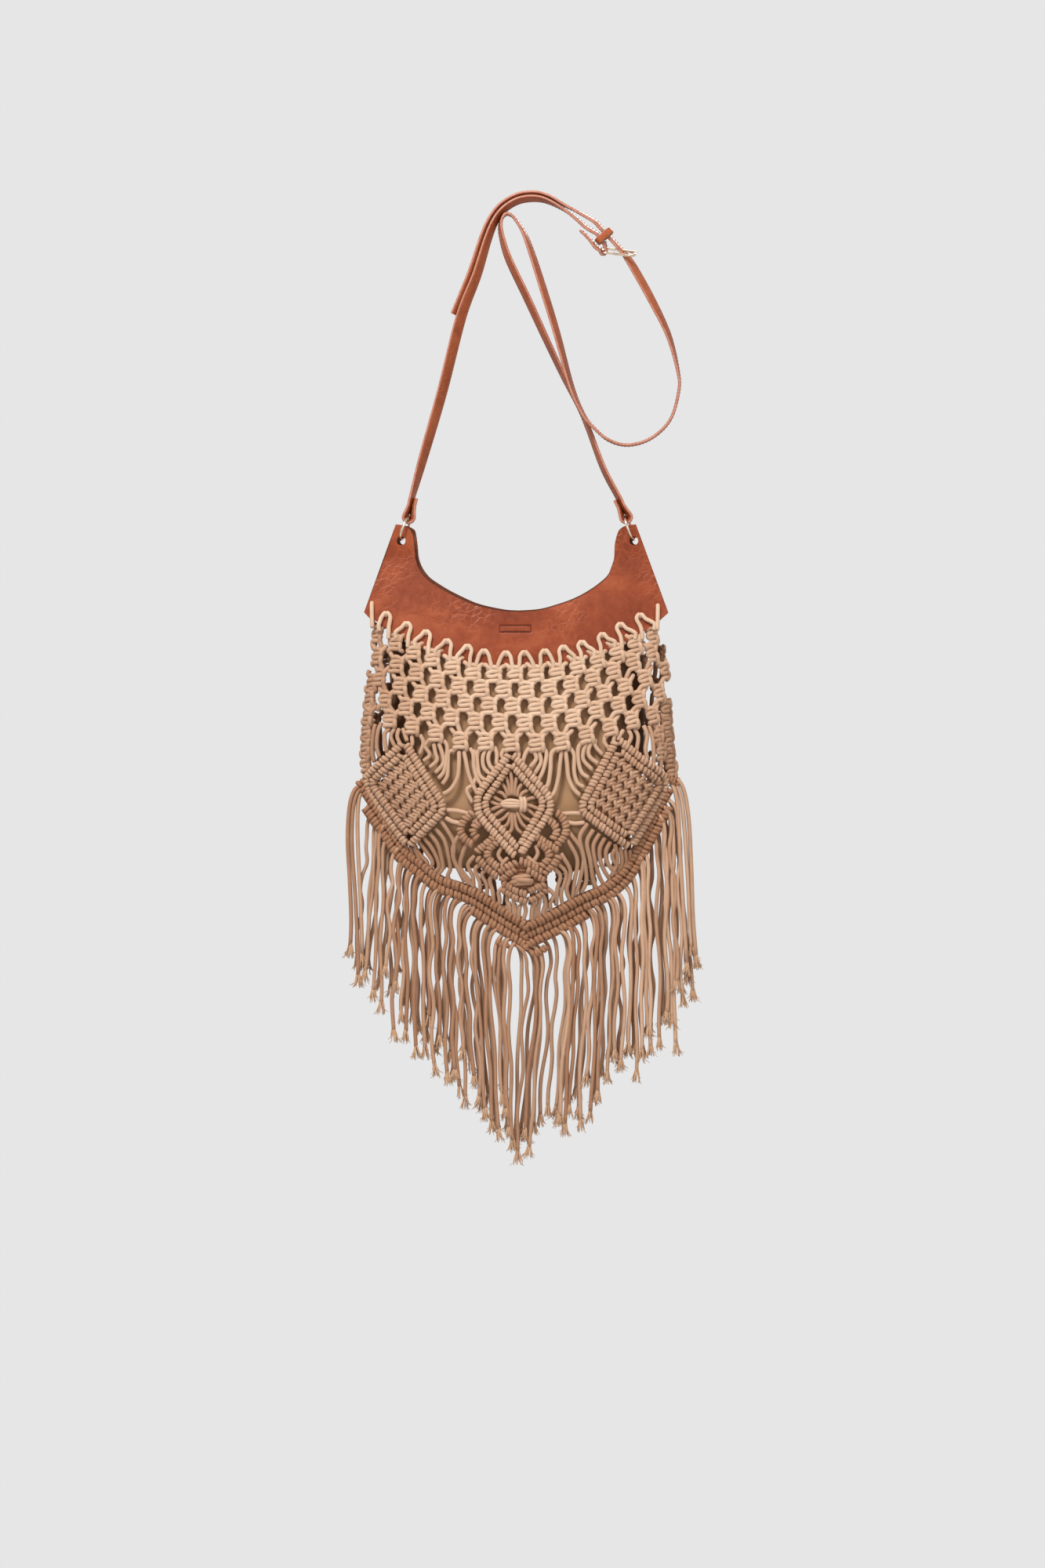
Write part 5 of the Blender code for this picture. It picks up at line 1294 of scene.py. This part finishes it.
def buckle_axes():
    along = Vector((math.cos(BUCKLE_LEAN), 0.0, math.sin(BUCKLE_LEAN)))
    side = Vector((-along.z, 0.0, along.x))
    across = math.cos(BUCKLE_ROLL) * Vector((0, 1, 0)) + math.sin(BUCKLE_ROLL) * side
    return along, across, along.cross(across)


def ring_centre_line(side):
    reach = float(yoke_depth(BODY_SHIFT + RING_HOLE_OFFSET, RING_HOLE_Z)) + YOKE_WALL / 2
    rise = (RING_RADIUS - math.sqrt(RING_RADIUS ** 2 - reach ** 2)) * math.cos(RING_LEAN)
    seat = RING_HOLE_RADIUS * math.cos(math.pi / 10) - RING_WIRE - GAP - rise
    bottom = Vector((BODY_SHIFT + side * RING_HOLE_OFFSET, 0.0, RING_HOLE_Z + seat))
    lean = Vector((-side * math.sin(RING_LEAN), 0.0, math.cos(RING_LEAN)))
    return bottom, bottom + 2 * RING_RADIUS * lean


def fold_rows(side, target):
    """The strap's end turned round a ring, back on itself, and on its way to a target."""
    bottom, top = ring_centre_line(side)
    toward = (flat(target) - top).normalized()
    dip = RING_RADIUS - math.sqrt(RING_RADIUS ** 2 - (STRAP_WIDTH / 2) ** 2)
    middle = top + (bottom - top).normalized() * dip / 2
    radius = RING_WIRE + dip / 2 + FOLD_CLEARANCE + STRAP_THICKNESS / 2
    apart = STRAP_THICKNESS / 2 + GAP
    out = -side * Vector((-toward.z, 0.0, toward.x))
    ways = ((FOLD_RETURN, 1.0), (0.6 * FOLD_RETURN, 1.0), (1.7 * radius, 1.5))
    made = [middle + toward * way - out * apart * share for way, share in ways]
    for angle in [math.radians(degrees) for degrees in (-20, 5, 30, 60, 90, 120, 150, 175, 200)]:
        made.append(middle - out * radius * math.cos(angle) - toward * radius * math.sin(angle))
    made += [middle + toward * way + out * apart * share for way, share in reversed(ways)]
    return [(*p, side * FOLD_TWIST) for p in made]


def beside_rows(first, last):
    base = [strap_place(*row) for row in BUCKLE_ROUTE]
    made = []
    for i in range(first, last - 1, -1):
        x, _, z, twist = base[i]
        run = (flat(base[i + 1]) - flat(base[i - 1])).normalized()
        away = (STRAP_THICKNESS + TAIL_GAP) / math.cos(math.radians(twist))
        made.append((x - run.z * away, 0.0, z + run.x * away, -twist))
    return made


def strap_section():
    """Across and through of a flat strap's outline, with rounded edges."""
    section = []
    for sx, sy in ((-1, -1), (1, -1), (1, 1), (-1, 1)):
        for degrees in (15, 45, 75):
            turn = math.radians(degrees if sx * sy > 0 else 90 - degrees)
            section.append((sx * (STRAP_WIDTH / 2 - STRAP_ROUNDING + STRAP_ROUNDING * math.cos(turn)),
                            sy * (STRAP_THICKNESS / 2 - STRAP_ROUNDING + STRAP_ROUNDING * math.sin(turn))))
    return section


def ribbon(name, rows, bar_rows=()):
    """A flat strap with paler cut edges and a stitched line along each edge of both faces."""
    section = strap_section()
    shape = bmesh.new()
    rings, frames = [], []
    for i, row in enumerate(rows):
        before, after = rows[max(0, i - 1)], rows[min(len(rows) - 1, i + 1)]
        run = (flat(after) - flat(before)).normalized()
        turn = math.radians(row[3])
        across = math.cos(turn) * Vector((0, 1, 0)) + math.sin(turn) * Vector((-run.z, 0.0, run.x))
        if i in bar_rows:
            run = (Vector(after[:3]) - Vector(before[:3])).normalized()
            across = buckle_axes()[1]
        through = across.cross(run).normalized()
        at = Vector(row[:3])
        frames.append((at, across, through))
        rings.append([shape.verts.new(at + a * across + b * through) for a, b in section])
    edge_at = STRAP_WIDTH / 2 - 0.0002
    join_rings(shape, rings, lambda i, j: int(abs(section[i][0] + section[j][0]) / 2 > edge_at))
    for end in (rings[0][::-1], rings[-1]):
        shape.faces.new(end).material_index = 1
    face_outwards(shape)
    settle(place_shape(name + "_leather", shape, 60, strap_leather, cut_edge), "strap_leather", name)
    seam = Cords()
    spots = [np.array([frame[k] for frame in frames]) for k in range(3)]
    along = lengths_along(spots[0])
    for i in range(int(along[-1] / STITCH_PITCH)):
        at = [(i + share) * STITCH_PITCH for share in (0.15, 0.35, 0.65, 0.85)]
        middle, across, through = (np.column_stack([np.interp(at, along, spot[:, k]) for k in range(3)])
                                   for spot in spots)
        rise = np.array((-0.0002, 0.00005, 0.00005, -0.0002))[:, None] + STRAP_THICKNESS / 2
        for edge in (-1, 1):
            for face in (-1, 1):
                seam.tube(middle + edge * STITCH_LINE * across + face * rise * through, STITCH_RADIUS, 4)
    settle(seam.build(name + "_leather_stitches", thread), "strap_leather")


def through_rows(start, route):
    """A smooth run of rows from one row through a route."""
    return [tuple(p) for p in smooth([start] + route, 8)[1:]]


def straps():
    route = [strap_place(*row) for row in BUCKLE_ROUTE]
    rows = fold_rows(-1, route[0])
    rows += through_rows(rows[-1], route)
    bar, axes = flat(strap_place(*BAR_PLACE)), buckle_axes()
    radius = BUCKLE_WIRE + FOLD_CLEARANCE + STRAP_THICKNESS / 2
    turns = [math.radians(degrees) for degrees in range(30, -181, -15)]
    bar_rows = range(len(rows), len(rows) + len(turns))
    rows += [(*(bar + radius * (math.cos(turn) * axes[0] + math.sin(turn) * axes[2])), 0.0) for turn in turns]
    rows += [strap_place(*row) for row in RETURN_ROUTE]
    ribbon("buckle_strap", rows, bar_rows)
    route = [strap_place(*row) for row in LONG_ROUTE] + beside_rows(TAIL_ROWS[0] - 1, TAIL_ROWS[1])
    rows = fold_rows(1, route[0])
    ribbon("long_strap", rows + through_rows(rows[-1], route))


def keeper(count=72, stitches=20):
    middle = np.array(flat(strap_place(*KEEPER_PLACE)))
    along = np.array((math.cos(KEEPER_HEADING), 0.0, math.sin(KEEPER_HEADING)))
    up = np.array((-along[2], 0.0, along[0]))
    half = KEEPER_WIDTH / 2
    section = [(0.0, -half), (0.0, half), (0.5, half), (0.85, half - 0.0002), (1.0, half - 0.0006),
               (1.0, -half + 0.0006), (0.85, -half + 0.0002), (0.5, -half)]

    def spot(turn, wall, edge):
        high, deep = (math.copysign(abs(v) ** 0.55, v) for v in (math.cos(turn), math.sin(turn)))
        return (middle + (KEEPER_HALF_HEIGHT + wall * KEEPER_WALL) * high * up
                + (KEEPER_HALF_WIDTH + wall * KEEPER_WALL) * deep * np.array((0.0, 1.0, 0.0)) + edge * along)

    shape = bmesh.new()
    rings = [[shape.verts.new(spot(2 * math.pi * (i + 0.5) / count, wall, edge)) for wall, edge in section]
             for i in range(count)]
    join_rings(shape, rings + rings[:1], lambda i, j: int(i in (1, 2, 6, 7)))
    face_outwards(shape)
    seam = Cords()
    for i in range(stitches):
        for edge in (-0.62, 0.62):
            turns = [2 * math.pi * (i + share) / stitches for share in (0.2, 0.5, 0.8)]
            seam.tube([spot(turn, 1.03, edge * half) for turn in turns], 0.00025, 4)
    settle(place_shape("keeper_leather", shape, 50, strap_leather, cut_edge), "strap_leather", "keeper_loop")
    settle(seam.build("keeper_stitches", thread), "strap_leather")


straps()
keeper()


# Metal

def wire(node, centres, radius, away=(0.0, 1.0, 0.0)):
    cords = Cords()
    cords.tube([tuple(c) for c in centres], radius, 14, away=away)
    settle(cords.build(node + "_wire", metal), "metal", node)


def rings_of_metal():
    turns = [2 * math.pi * i / 60 for i in range(60)]
    through = Vector((math.sin(RING_TURN), math.cos(RING_TURN), 0.0))
    for name, side in (("ring_left", -1), ("ring_right", 1)):
        bottom, top = ring_centre_line(side)
        middle, up = (bottom + top) / 2, (top - bottom).normalized()
        round_it = [middle + RING_RADIUS * (math.cos(t) * up + math.sin(t) * through) for t in turns]
        wire(name, round_it + round_it[:1], RING_WIRE)


def buckle():
    along, across, up = buckle_axes()
    bar = flat(strap_place(*BAR_PLACE))
    half = BUCKLE_HALF_WIDTH
    corner = 0.35 * half
    bend = BUCKLE_LENGTH - half
    side = [(0.0, half - corner), (0.3 * corner, half - 0.3 * corner), (corner, half), (0.5 * bend, half),
            (bend, half)]
    outline = [(0.0, -half + corner), (0.0, 0.0)] + side
    for turn in [math.radians(degrees) for degrees in range(75, -76, -15)]:
        outline.append((bend + half * math.cos(turn), half * math.sin(turn)))
    outline += [(a, -b) for a, b in side[:0:-1]]
    line = smooth(outline + outline[:1], 4)[:-1]
    frame_line = [bar + float(a) * along + float(b) * across for a, b in line]
    wire("buckle_frame", frame_line + frame_line[:1], BUCKLE_WIRE, up)
    lift = BUCKLE_WIRE + GAP + PRONG_RADIUS
    spots = [bar + lift * (math.cos(turn) * along + math.sin(turn) * up)
             for turn in [math.radians(degrees) for degrees in range(200, 84, -15)]]
    spots += [bar + along * share * BUCKLE_LENGTH + up * lift
              for share in (0.2, 0.35, 0.5, 0.7, 0.85, 0.95, 1.06)]
    prong = smooth([tuple(s) for s in spots], 3)
    wire("buckle_prong", [Vector(p) for p in prong], PRONG_RADIUS, up)


rings_of_metal()
buckle()


# Floor, light and camera

floor = bmesh.new()
bmesh.ops.create_circle(floor, cap_ends=True, segments=96, radius=1.3)
floor_mesh = bpy.data.meshes.new("floor")
floor.to_mesh(floor_mesh)
floor.free()
pale, tree = new_material("floor")
uneven = noise(tree, object_place(tree), 8)
dress(tree, Base_Color=ramp(tree, uneven, ((0.3, (0.66,) * 3), (0.7, (0.69,) * 3))), Roughness=0.9)
floor_piece = place("floor", floor_mesh, pale)
floor_piece.location = (0.0, 0.0, -1.42)

SKY = ((0.0, 0.46), (0.30, 0.52), (0.42, 0.791), (0.58, 0.791), (0.72, 0.55), (1.0, 0.55))
world = bpy.data.worlds.new("studio")
world.use_nodes = True
sky = world.node_tree
height = new_node(sky, "SeparateXYZ", Vector=new_node(sky, "TexCoord").outputs["Generated"]).outputs[2]
grey = ramp(sky, maths(sky, "MULTIPLY_ADD", height, 0.5, 0.5), [(at, (level,) * 3) for at, level in SKY])
sky.links.new(grey, sky.nodes["Background"].inputs["Color"])
bpy.context.scene.world = world
bpy.context.scene.view_settings.view_transform = "Standard"


def softbox(name, spot, size, power, target=(0.0, 0.0, -0.5)):
    data = bpy.data.lights.new(name, "AREA")
    data.shape = "DISK"
    data.size = size
    data.energy = power
    lamp = bpy.data.objects.new(name, data)
    lamp.location = spot
    lamp.rotation_mode = "QUATERNION"
    lamp.rotation_quaternion = (Vector(target) - Vector(spot)).to_track_quat("-Z", "Y")
    bpy.context.scene.collection.objects.link(lamp)


softbox("key", (-0.8, -1.8, 1.8), 0.7, 84)
softbox("fill", (1.5, -1.9, 0.3), 1.4, 10)
softbox("back", (0.3, 1.9, 0.9), 1.2, 30)

# The camera sees the whole chart: its middle, and its height
VIEW_MIDDLE = (666.5, 1000)
VIEW_HEIGHT = 2000
DISTANCE = 5.0
camera_data = bpy.data.cameras.new("camera")
camera = bpy.data.objects.new("camera", camera_data)
x, z = chart(*VIEW_MIDDLE)
camera.location = (x, -DISTANCE, z)
camera.rotation_euler = (math.radians(90), 0.0, 0.0)
camera_data.sensor_width = 36
camera_data.lens = 36 * DISTANCE / (VIEW_HEIGHT * UNIT)
camera_data.clip_end = 50
bpy.context.scene.collection.objects.link(camera)
bpy.context.scene.camera = camera
